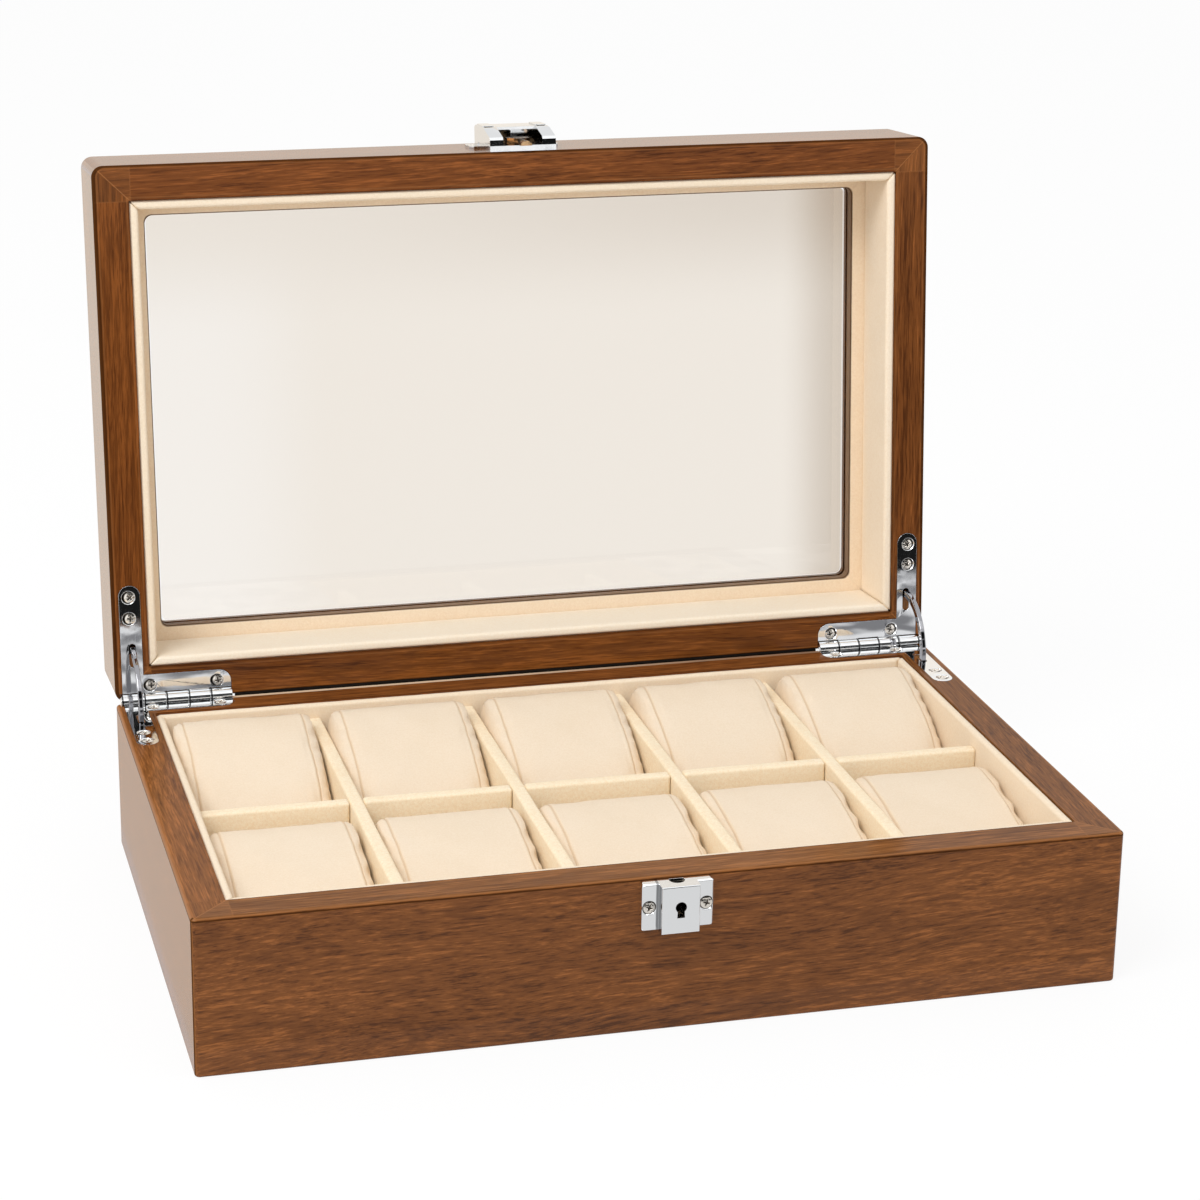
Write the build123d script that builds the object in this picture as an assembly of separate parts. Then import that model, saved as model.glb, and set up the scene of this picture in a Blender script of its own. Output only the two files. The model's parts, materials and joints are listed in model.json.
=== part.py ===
from build123d import *
import os
from math import asin, degrees

# Wooden watch box for ten watches, standing open.
# Millimetres. +X to the right, +Y to the back, +Z up.
# The origin is the centre of the underside.

# Case
CASE_W = 320.0          # width, left to right
CASE_D = 200.0          # depth, front face to back face
BASE_H = 56.0           # height of the base, underside to rim
LID_H = 38.0            # height of the lid, rim to top
RIM_GAP = 0.6           # gap between the two rims when the lid is shut
WALL = 13.0             # thickness of every side wall
OPEN_ANGLE = 95.3       # how far the lid opens before its stays stop it
BASE_CORNER_R = 1.8     # upright corners of the base
LID_CORNER_R = 4.2      # upright corners of the lid
ARRIS_R = 1.0           # eased outer edges of both rims and of the underside
LID_TOP_R = 2.0         # eased outer edge of the lid's top

# Bottom of the base
REBATE_W = 6.0          # width of the rebate under the walls
PANEL_T = 5.0           # thickness of the bottom panel
FELT_T = 1.0            # thickness of the felt under it
PANEL_FIT = 0.15        # gap round the bottom panel and the felt

# Lining of the base
LINER_T = 3.0           # thickness of the wall liners
LINER_DROP = 0.4        # how far the liners stop below the rim
LINER_EDGE_R = 1.2      # soft top edges of the liners
FLOOR_T = 2.0           # thickness of the floor liner

# Dividers
COLUMNS = 5
DIVIDER_T = 4.8
DIVIDER_DROP = 5.3      # how far the dividers stop below the rim
DIVIDER_R = 1.9         # soft edges of the dividers
DIVIDER_FIT = 0.2       # gap at the divider ends and in the half-laps

# Window in the lid
WINDOW_EDGE = 21.3      # outer face of the case to the edge of the window
WINDOW_R = 3.0          # corners of the window
LIP_T = 2.2             # the rails' lip, outside the glass
GLASS_T = 3.0
GLASS_FIT = 0.4         # gap round the glass
BEAD_T = 4.4            # glazing bead under the glass
CARD_T = 1.4            # suede-wrapped ledge card under the bead
CARD_OVERHANG = 0.3     # how far the card covers the bead's edge
LID_LINER_T = 3.3
LID_LINER_DROP = 0.4    # how far the lid's liners stop short of its rim

# Hinges, measured from the side of the case and from its back face
KNUCKLES = 5
KNUCKLE_R = 3.0
PIN_R = 1.5
PIN_FIT = 0.05          # radial clearance of the pin
BARREL_START = 1.8      # outer end of the barrel, from the side of the case
BARREL_END = 43.5
KNUCKLE_FIT = 0.15      # gap between neighbouring knuckles
BARREL_FIT = 0.25       # gap between the barrel and what it turns in
LEAF_T = 1.5
LEAF_START = 2.7        # outer edge of the leaf, from the side of the case
LEG_W = 8.0             # width of the leg along the side wall
LEG_END = 44.5          # its round end, from the back face
REAR_LEG_W = 10.0       # inner edge of the leg along the back wall
REAR_LEG_R = 4.5
LEAF_FIT = 0.15         # gap between the leaf and its recess
SIDE_SCREWS = (31.9, 40.0)   # screws in the side leg, from the back face
SIDE_SCREW_U = 6.3           # their distance from the side of the case
REAR_SCREWS = (13.0, 38.1)   # screws in the rear leg, from the side of the case
REAR_SCREW_V = 5.9           # their distance from the back face

# Curved stays
ARM_R = 20.0            # middle radius, about the hinge pin
ARM_DEPTH = 2.8         # across the curve
ARM_T = 1.8             # along the hinge pin
ARM_U = 7.0             # middle of the arm, from the side of the case
ARM_FIT = 0.4           # clearance in slot and mortise
ARM_HIDDEN = 12.0       # degrees of arm inside each wall when the lid is open
HEAD_T = 4.0            # stop heads, along the hinge pin
HEAD_GAP = 0.25         # stop head to leaf when the lid is open
SLOT_W = 2.6
SLOT_START = 13.3       # slot in the leaves, from the back face
SLOT_END = 22.3

# Screws
SCREW_HEAD_R = 2.5
SCREW_HEAD_T = LEAF_T   # the countersink goes right through a leaf
SHANK_R = 1.1           # shank under the head
LEAF_SCREW_L = 9.0
FRONT_SCREW_L = 8.0     # lock and catch screws, below their plate's back
SCREW_FIT = 0.05

# Lock on the base's front
LOCK_W = 24.5
LOCK_H = 16.8
LOCK_DROP = 1.0         # top of the lock below the rim
WING_T = 3.8
BLOCK_W = 13.1
BLOCK_T = 7.8
CASE_SKIN = 1.0         # wall thickness of the lock case
BACK_PLATE_T = 1.0
BACK_PLATE_FIT = 0.1
LOCK_SCREW_X = 9.8
KEYHOLE_R = 1.9
KEYHOLE_RISE = 0.9      # keyhole's round above the middle of the lock
KEYHOLE_DROP = 3.7      # end of the keyhole's slot below its round
KEYHOLE_SLOT_W = 2.2
KEYHOLE_FLARE = 0.4     # how much wider the slot ends
MOUTH_R = 2.6           # half-moon hole in the lock's top
MOUTH_Y = 1.9           # its centre, in front of the wood
MOUTH_BACK = 0.8        # its flat side, in front of the wood
BOLT_T = 0.9            # height of the bolt's nose
BOLT_TRAVEL = 1.6       # how far the key pushes the bolt into the hook
BOLT_FIT = 0.3
BOLT_TAIL_W = 1.2
BOLT_TAIL_L = 9.5
SPRING_T = 0.3
SPRING_RISE = 2.4

# Catch on the lid's front, heights from the lid's rim
CATCH_W = 25.2
CATCH_H = 27.0
CATCH_START = 0.5
CATCH_T = 8.0
CATCH_MOUTH_W = 15.0
CATCH_SLOPE_END = 12.0  # where the sloped arms reach full thickness
CATCH_NOSE_T = 4.2      # thickness of the arms at the rim
LIP_HEIGHT = 1.5        # front lip across the mouth
LIP_OUT = 2.1
CATCH_SKIN = 1.0
LOBE_RISE = 0.4
LOBE_START = 14.0
CATCH_WING_L = 4.6
CATCH_WING_T = 0.9
CATCH_WING_START = 14.5
CATCH_WING_END = 25.5
HOOK_REACH = 4.5        # how far the hook stands out past the lid's rim
HOOK_ROOT = 13.0        # its root, above the lid's rim
HOOK_ROOT_W = 8.6
HOOK_FIT = 0.3          # hook to the lock's mouth
HOOK_BACK = 2.35        # back of the hook, in front of the wood
NOTCH_BELOW = 2.7       # top of the notch, below the lid's rim

# Pillows
PILLOW_SIDE_GAP = 0.6
PILLOW_END_GAP = 2.0
PILLOW_SEAT = 0.3       # gap between a pillow and the floor liner
# Each pillow's ends: distance in from the end, and how much the roll is drawn in there.
# The dip at 3.4 mm is the seam.
PILLOW_END = ((0.0, 0.10), (1.0, 0.025), (3.4, 0.035), (4.6, 0.012))
PILLOW_LOW_R = 11.0     # roundings of the roll: along its underside
PILLOW_CROWN_R = 13.0   # over its crown
PILLOW_NOSE_R = 10.0    # at its front
# Where the top of a roll starts, passes and ends: out from the middle, above the underside
BACK_TOP = ((38.8, 49.0), (2.0, 41.5), (-37.6, 21.0))
FRONT_TOP = ((38.8, 43.8), (-1.0, 39.5), (-38.0, 26.5))

# Worked out from the sizes above
HALF_W = CASE_W / 2
HALF_D = CASE_D / 2
LID_RIM = BASE_H + RIM_GAP
JOINT_Z = BASE_H + RIM_GAP / 2
HINGE_AXIS = Axis((0, HALF_D, JOINT_Z), (-1, 0, 0))
JOINT_PLANE = Plane((0, 0, JOINT_Z))
PANEL_TOP = FELT_T + PANEL_T
FLOOR_Z = PANEL_TOP + FLOOR_T
DIVIDER_TOP = BASE_H - DIVIDER_DROP
INNER_W = CASE_W - 2 * WALL - 2 * LINER_T
INNER_D = CASE_D - 2 * WALL - 2 * LINER_T
COLUMN_W = (INNER_W - (COLUMNS - 1) * DIVIDER_T) / COLUMNS
ROW_D = (INNER_D - DIVIDER_T) / 2
GLASS_Z = LID_RIM + LID_H - LIP_T - GLASS_T
BEAD_Z = GLASS_Z - BEAD_T
CARD_Z = BEAD_Z - CARD_T
LOCK_TOP = BASE_H - LOCK_DROP
LOCK_Z = LOCK_TOP - LOCK_H / 2
ARM_IN = ARM_R - ARM_DEPTH / 2
ARM_OUT = ARM_R + ARM_DEPTH / 2
CUT = 1.0               # how far a cutting shape runs past the face it cuts

nodes = {}


def save(name, *shapes):
    """Keep one named piece, made of one or more solids."""
    nodes[name] = [solid for shape in shapes for solid in shape.solids()]


def block(x0, x1, y0, y1, z0, z1):
    """A box between two corners."""
    return Pos((x0 + x1) / 2, (y0 + y1) / 2, (z0 + z1) / 2) * Box(x1 - x0, y1 - y0, z1 - z0)


def slab(width, depth, z0, z1):
    """A box centred on the case, between two heights."""
    return block(-width / 2, width / 2, -depth / 2, depth / 2, z0, z1)


def rounded_slab(width, depth, z0, z1, radius):
    """A slab with rounded upright corners."""
    body = slab(width, depth, z0, z1)
    return fillet(body.edges().filter_by(Axis.Z), radius)


def mitred(ring, width, depth):
    """Cut a rectangular ring along its four mitres: front, back, left, right."""
    reach = min(width, depth) / 2 - CUT
    x, y = width / 2 + CUT, depth / 2 + CUT
    low, high = ring.bounding_box().min.Z - CUT, ring.bounding_box().max.Z + CUT
    front = [(-x, -y), (x, -y), (x - reach, reach - y), (reach - x, reach - y)]
    left = [(-x, -y), (reach - x, reach - y), (reach - x, y - reach), (-x, y)]
    prisms = []
    for outline in (front, left):
        face = make_face(Polyline(*outline, close=True))
        prisms.append(extrude(Pos(0, 0, low) * face, high - low))
    back = mirror(prisms[0], about=Plane.XZ)
    right = mirror(prisms[1], about=Plane.YZ)
    return [ring & prism for prism in (prisms[0], back, prisms[1], right)]


def opened(shape):
    """Swing a piece of the shut lid to where the stays hold it open."""
    return shape.rotate(HINGE_AXIS, OPEN_ANGLE)


def to_right(shape):
    return mirror(shape, about=Plane.YZ)


def to_lid(shape):
    """The lid's hinge cuts and leaves mirror the base's about the joint."""
    return mirror(shape, about=JOINT_PLANE)


def rim_x(u):
    return u - HALF_W


def rim_y(v):
    return HALF_D - v


def soften(sketch, point, radius):
    """Round the corner of a sketch that lies nearest to a point."""
    corner = sketch.vertices().sort_by_distance(Vector(*point, 0))[0]
    return fillet(corner, radius)


def leaf_outline(grow=0.0):
    """L-shaped outline of a left leaf, seen from above; grow makes its recess."""
    half_leg = LEG_W / 2 + grow
    u_mid = LEAF_START + LEG_W / 2
    u_end = BARREL_END + grow
    v_edge = REAR_LEG_W + grow
    tip = LEG_END - LEG_W / 2
    side = Pos(rim_x(u_mid), rim_y(tip / 2)) * Rectangle(2 * half_leg, tip)
    side += Pos(rim_x(u_mid), rim_y(tip)) * Circle(half_leg)
    u_start = LEAF_START - grow
    rear = Pos(rim_x((u_start + u_end) / 2), rim_y(v_edge / 2)) * Rectangle(u_end - u_start, v_edge)
    rear = soften(rear, (rim_x(u_end), rim_y(v_edge)), REAR_LEG_R)
    return side + rear


def along_x(radius, u0, u1):
    """A cylinder on the hinge axis, between two distances from the left side."""
    body = Rot(0, 90, 0) * Cylinder(radius, u1 - u0)
    return Pos(rim_x((u0 + u1) / 2), HALF_D, JOINT_Z) * body


def sector(r_in, r_out, width, start, end):
    """Curved bar about the hinge axis, in the plane of the left stay.

    Angles run from the back (+Y) over the top (+Z); the front is 180 degrees.
    """
    plane = Plane((rim_x(ARM_U) - width / 2, HALF_D, JOINT_Z), x_dir=(0, 1, 0), z_dir=(1, 0, 0))
    outer = CenterArc((0, 0), r_out, start, end - start)
    inner = CenterArc((0, 0), r_in, start, end - start)
    sides = [Line(outer @ 0, inner @ 0), Line(outer @ 1, inner @ 1)]
    return extrude(plane * make_face(Curve() + [outer, inner] + sides), width)


def screw(length):
    """Countersunk screw, its head's face at z 0 and its shank down."""
    profile = Polyline((0, 0), (SCREW_HEAD_R, 0), (SHANK_R, -SCREW_HEAD_T), (SHANK_R, -length), (0, -length),
                       close=True)
    return revolve(Plane.XZ * make_face(profile), Axis.Z)


def screw_hole(length):
    """The countersink and pilot hole that the screw sits in."""
    head, shank = SCREW_HEAD_R + SCREW_FIT, SHANK_R + SCREW_FIT
    end = -length - SCREW_FIT
    profile = Polyline((0, CUT), (head, CUT), (head, 0), (shank, -SCREW_HEAD_T), (shank, end), (0, end),
                       close=True)
    return revolve(Plane.XZ * make_face(profile), Axis.Z)


def leaf_screw_places():
    """Where the left base leaf's screws stand, on the rim."""
    places = [(SIDE_SCREW_U, v) for v in SIDE_SCREWS] + [(u, REAR_SCREW_V) for u in REAR_SCREWS]
    return [Pos(rim_x(u), rim_y(v), BASE_H) for u, v in places]


def front_place(x, out, z):
    """Turn a piece that points down so that it points into the front wall."""
    return Pos(x, -HALF_D - out, z) * Rot(90, 0, 0)


def hinge_cuts():
    """Everything cut from the base's wood for the left hinge."""
    recess = extrude(Pos(0, 0, BASE_H) * leaf_outline(LEAF_FIT), -LEAF_T)
    recess += extrude(Pos(0, 0, BASE_H) * leaf_outline(LEAF_FIT), CUT)
    groove = along_x(KNUCKLE_R + BARREL_FIT, BARREL_START - BARREL_FIT, BARREL_END + LEAF_FIT)
    closed_half = (OPEN_ANGLE / 2) + ARM_HIDDEN + degrees(ARM_FIT / ARM_R) + CUT
    mortise = sector(ARM_IN - ARM_FIT, ARM_OUT + ARM_FIT, HEAD_T + 2 * ARM_FIT, 180, 180 + closed_half)
    holes = [place * screw_hole(LEAF_SCREW_L) for place in leaf_screw_places()]
    return [recess, groove, mortise] + holes


def knuckle_span(number):
    """Ends of one knuckle, numbered from the side of the case."""
    pitch = (BARREL_END - BARREL_START) / KNUCKLES
    start = BARREL_START + number * pitch
    return start + KNUCKLE_FIT / 2, start + pitch - KNUCKLE_FIT / 2


def leaf(own, others):
    """Left base leaf with its own knuckles, cut clear of the other leaf's."""
    plate = extrude(Pos(0, 0, BASE_H) * leaf_outline(), -LEAF_T)
    for number in others:
        start, end = knuckle_span(number)
        plate -= along_x(KNUCKLE_R + BARREL_FIT, start - KNUCKLE_FIT, end + KNUCKLE_FIT)
    for number in own:
        plate += along_x(KNUCKLE_R, *knuckle_span(number))
    plate -= along_x(PIN_R + PIN_FIT, BARREL_START - CUT, BARREL_END + CUT)
    slot_l = SLOT_END - SLOT_START
    slot = Rot(0, 0, 90) * SlotOverall(slot_l, SLOT_W)
    slot_at = Pos(rim_x(ARM_U), rim_y(SLOT_START + slot_l / 2), BASE_H + CUT)
    plate -= extrude(slot_at * slot, -LEAF_T - 2 * CUT)
    for place in leaf_screw_places():
        plate -= place * screw_hole(LEAF_SCREW_L)
    return plate


def base_walls():
    shell = rounded_slab(CASE_W, CASE_D, 0, BASE_H, BASE_CORNER_R)
    rims = shell.faces().sort_by(Axis.Z)
    shell = fillet(rims[0].edges() + rims[-1].edges(), ARRIS_R)
    shell -= slab(CASE_W - 2 * WALL, CASE_D - 2 * WALL, -CUT, BASE_H + CUT)
    rebate = 2 * (WALL - REBATE_W)
    shell -= slab(CASE_W - rebate, CASE_D - rebate, -CUT, PANEL_TOP)
    for cut in hinge_cuts():
        shell -= cut
        shell -= to_right(cut)
    for x in (-LOCK_SCREW_X, LOCK_SCREW_X):
        shell -= front_place(x, WING_T, LOCK_Z) * screw_hole(WING_T + FRONT_SCREW_L)
    names = ("base_front_wall", "base_back_wall", "base_left_wall", "base_right_wall")
    for name, wall in zip(names, mitred(shell, CASE_W, CASE_D)):
        save(name, wall)


def base_bottom():
    gap = 2 * (WALL - REBATE_W + PANEL_FIT)
    save("base_bottom_panel", slab(CASE_W - gap, CASE_D - gap, FELT_T, PANEL_TOP))
    save("base_felt", slab(CASE_W - gap, CASE_D - gap, 0, FELT_T))


def lined_ring(width, depth, thickness, z0, z1, top_edge_r, soft_top):
    """Four suede-wrapped boards in a ring, their edge at the rim softened."""
    ring = slab(width, depth, z0, z1)
    ring -= slab(width - 2 * thickness, depth - 2 * thickness, z0 - CUT, z1 + CUT)
    rim = ring.faces().sort_by(Axis.Z)[-1 if soft_top else 0]
    return fillet(rim.edges(), top_edge_r)


def base_lining():
    width, depth = CASE_W - 2 * WALL, CASE_D - 2 * WALL
    ring = lined_ring(width, depth, LINER_T, PANEL_TOP, BASE_H - LINER_DROP, LINER_EDGE_R, True)
    names = ("base_liner_front", "base_liner_back", "base_liner_left", "base_liner_right")
    for name, board in zip(names, mitred(ring, width, depth)):
        save(name, board)
    save("base_floor_liner", slab(INNER_W, INNER_D, PANEL_TOP, FLOOR_Z))


def column_x(column):
    """Middle of a column of compartments, counted from the left."""
    return (column - (COLUMNS - 1) / 2) * (COLUMN_W + DIVIDER_T)


def soft_board(length, along):
    """Divider board with a soft top, lying along X or Y."""
    sizes = (length, DIVIDER_T) if along == "x" else (DIVIDER_T, length)
    board = slab(*sizes, FLOOR_Z, DIVIDER_TOP)
    long_edges = board.faces().sort_by(Axis.Z)[-1].edges().filter_by(Axis.X if along == "x" else Axis.Y)
    return fillet(long_edges, DIVIDER_R)


def dividers():
    lap_z = (FLOOR_Z + DIVIDER_TOP) / 2
    notch = DIVIDER_T + 2 * DIVIDER_FIT
    long_board = soft_board(INNER_W - 2 * DIVIDER_FIT, "x")
    cross_board = soft_board(INNER_D - 2 * DIVIDER_FIT, "y")
    cross_board -= slab(DIVIDER_T + CUT, notch, FLOOR_Z - CUT, lap_z + DIVIDER_FIT)
    for number in range(1, COLUMNS):
        x = (column_x(number - 1) + column_x(number)) / 2
        long_board -= Pos(x, 0, 0) * slab(notch, DIVIDER_T + CUT, lap_z, DIVIDER_TOP + CUT)
        save(f"cross_divider_{number}", Pos(x, 0, 0) * cross_board)
    save("long_divider", long_board)


def lid_frame():
    top = LID_RIM + LID_H
    shell = rounded_slab(CASE_W, CASE_D, LID_RIM, top, LID_CORNER_R)
    shell = fillet(shell.faces().sort_by(Axis.Z)[-1].edges(), LID_TOP_R)
    shell = fillet(shell.faces().sort_by(Axis.Z)[0].edges(), ARRIS_R)
    shell -= slab(CASE_W - 2 * WALL, CASE_D - 2 * WALL, LID_RIM - CUT, top - LIP_T)
    window_w, window_d = CASE_W - 2 * WINDOW_EDGE, CASE_D - 2 * WINDOW_EDGE
    shell -= rounded_slab(window_w, window_d, top - LIP_T - CUT, top + CUT, WINDOW_R)
    for cut in hinge_cuts():
        shell -= to_lid(cut)
        shell -= to_lid(to_right(cut))
    for x in (-catch_screw_x(), catch_screw_x()):
        shell -= front_place(x, CATCH_WING_T, catch_screw_z()) * screw_hole(CATCH_WING_T + FRONT_SCREW_L)
    names = ("lid_front_rail", "lid_back_rail", "lid_left_rail", "lid_right_rail")
    for name, rail in zip(names, mitred(shell, CASE_W, CASE_D)):
        save(name, opened(rail))


def lid_inside():
    width, depth = CASE_W - 2 * WALL, CASE_D - 2 * WALL
    glass = slab(width - 2 * GLASS_FIT, depth - 2 * GLASS_FIT, GLASS_Z, GLASS_Z + GLASS_T)
    save("lid_glass", opened(glass))
    strips = (("lid_glazing_bead", BEAD_Z, GLASS_Z, 0.0), ("lid_ledge_card", CARD_Z, BEAD_Z, CARD_OVERHANG))
    for name, z0, z1, overhang in strips:
        edge = 2 * (WINDOW_EDGE + overhang)
        ring = slab(width, depth, z0, z1)
        ring -= rounded_slab(CASE_W - edge, CASE_D - edge, z0 - CUT, z1 + CUT, WINDOW_R)
        save(name, *[opened(strip) for strip in mitred(ring, width, depth)])
    ring = lined_ring(width, depth, LID_LINER_T, LID_RIM + LID_LINER_DROP, CARD_Z, LINER_EDGE_R, False)
    names = ("lid_liner_front", "lid_liner_back", "lid_liner_left", "lid_liner_right")
    for name, board in zip(names, mitred(ring, width, depth)):
        save(name, opened(board))


def hinges():
    base_own = range(0, KNUCKLES, 2)
    lid_own = range(1, KNUCKLES, 2)
    base_leaf = leaf(base_own, lid_own)
    lid_leaf = to_lid(leaf(lid_own, base_own))
    pin = along_x(PIN_R, BARREL_START, BARREL_END)
    save("hinge_base_leaf_left", base_leaf)
    save("hinge_base_leaf_right", to_right(base_leaf))
    save("hinge_lid_leaf_left", opened(lid_leaf))
    save("hinge_lid_leaf_right", opened(to_right(lid_leaf)))
    save("hinge_pin_left", pin)
    save("hinge_pin_right", to_right(pin))
    screws = [place * screw(LEAF_SCREW_L) for place in leaf_screw_places()]
    screws += [to_right(piece) for piece in screws]
    save("base_hinge_screws", *screws)
    save("lid_hinge_screws", *[opened(to_lid(piece)) for piece in screws])


def stay_arms():
    """Curved stay that slides through both leaves, with a stop head at each end."""
    lid_side = 180 - OPEN_ANGLE
    head_start = degrees(asin((RIM_GAP / 2 + LEAF_T + HEAD_GAP) / ARM_IN))
    arm = sector(ARM_IN, ARM_OUT, ARM_T, lid_side - ARM_HIDDEN, 180 + ARM_HIDDEN)
    arm += sector(ARM_IN, ARM_OUT, HEAD_T, 180 + head_start, 180 + ARM_HIDDEN)
    arm += sector(ARM_IN, ARM_OUT, HEAD_T, lid_side - ARM_HIDDEN, lid_side - head_start)
    save("stay_arm_left", arm)
    save("stay_arm_right", to_right(arm))


def keyhole():
    """Keyhole outline through the lock's face, seen from the front."""
    half, end = KEYHOLE_SLOT_W / 2, KEYHOLE_SLOT_W / 2 + KEYHOLE_FLARE / 2
    slot = make_face(Polyline((-half, 0), (half, 0), (end, -KEYHOLE_DROP), (-end, -KEYHOLE_DROP), close=True))
    return Circle(KEYHOLE_R) + slot


def lock():
    bottom = LOCK_TOP - LOCK_H
    front = -HALF_D
    wings = block(-LOCK_W / 2, LOCK_W / 2, front - WING_T, front, bottom, LOCK_TOP)
    wings = fillet(wings.edges().filter_by(Axis.Y), CASE_SKIN)
    wings = chamfer(wings.faces().sort_by(Axis.Y)[0].edges(), CASE_SKIN / 2)
    middle = block(-BLOCK_W / 2, BLOCK_W / 2, front - BLOCK_T, front, bottom, LOCK_TOP)
    middle = fillet(middle.faces().sort_by(Axis.Y)[0].edges(), CASE_SKIN / 2)
    case = wings + middle
    case -= block(CASE_SKIN - BLOCK_W / 2, BLOCK_W / 2 - CASE_SKIN, front - BLOCK_T + CASE_SKIN, front + CUT,
                  bottom + CASE_SKIN, LOCK_TOP - CASE_SKIN)
    plate_w = 2 * (LOCK_SCREW_X - SCREW_HEAD_R - CASE_SKIN)
    case -= block(-plate_w / 2, plate_w / 2, front - BACK_PLATE_T, front,
                  bottom + CASE_SKIN, LOCK_TOP - CASE_SKIN)
    mouth = Pos(0, front - MOUTH_Y) * Circle(MOUTH_R)
    mouth &= Pos(0, front - MOUTH_BACK - MOUTH_R) * Rectangle(2 * MOUTH_R, 2 * MOUTH_R)
    case -= extrude(Pos(0, 0, LOCK_TOP - 2 * CASE_SKIN) * mouth, 2 * CASE_SKIN + CUT)
    face = Plane((0, front - BLOCK_T - CUT, LOCK_Z + KEYHOLE_RISE), x_dir=(1, 0, 0), z_dir=(0, -1, 0))
    case -= extrude(face * keyhole(), -CUT - 2 * CASE_SKIN)
    screws = []
    for x in (-LOCK_SCREW_X, LOCK_SCREW_X):
        place = front_place(x, WING_T, LOCK_Z)
        case -= place * screw_hole(WING_T + FRONT_SCREW_L)
        screws.append(place * screw(WING_T + FRONT_SCREW_L))
    save("lock_case", case)
    save("lock_screws", *screws)
    half_w = plate_w / 2 - BACK_PLATE_FIT
    edge = CASE_SKIN + BACK_PLATE_FIT
    save("lock_back_plate",
         block(-half_w, half_w, front - BACK_PLATE_T, front, bottom + edge, LOCK_TOP - edge))


def hook_back():
    return -HALF_D - HOOK_BACK


def hook_front():
    return -HALF_D - MOUTH_Y - MOUTH_R + HOOK_FIT


def lock_works():
    """Sliding bolt with a tail that the key pushes, and its detent spring."""
    notch_top = LID_RIM - NOTCH_BELOW
    nose_top = notch_top - BOLT_FIT / 2
    hook_half = MOUTH_R - HOOK_FIT
    nose_end = -hook_half - BOLT_FIT
    tail_end = CASE_SKIN + BOLT_FIT - BLOCK_W / 2
    y0, y1 = hook_front(), hook_back()
    nose = block(tail_end, nose_end, y0, y1, nose_top - BOLT_T, nose_top)
    tail = block(tail_end, tail_end + BOLT_TAIL_W, y0, y1, nose_top - BOLT_TAIL_L, nose_top)
    talon_z = LOCK_Z + KEYHOLE_RISE
    talon = block(tail_end + BOLT_TAIL_W / 2, tail_end + 2 * BOLT_TAIL_W, y0 - CUT, y1 + CUT,
                  talon_z - KEYHOLE_R, talon_z)
    save("lock_bolt", nose + tail - talon)
    floor_z = LOCK_TOP - LOCK_H + CASE_SKIN
    span = BLOCK_W / 2 - CASE_SKIN - BOLT_FIT
    crown = SPRING_RISE
    ends = (Vector(-span, floor_z), Vector(0, floor_z + crown), Vector(span, floor_z))
    outer = ThreePointArc(*[point + Vector(0, SPRING_T) for point in ends])
    inner = ThreePointArc(*ends)
    sides = [Line(outer @ 0, inner @ 0), Line(outer @ 1, inner @ 1)]
    plane = Plane((0, hook_back(), 0), x_dir=(1, 0, 0), z_dir=(0, -1, 0))
    strip = extrude(plane * make_face(Curve() + [outer, inner] + sides), hook_back() - hook_front())
    save("lock_spring", strip)


def catch_screw_x():
    return (CATCH_W + CATCH_WING_L) / 2


def catch_screw_z():
    return LID_RIM + (CATCH_WING_START + CATCH_WING_END) / 2


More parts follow.
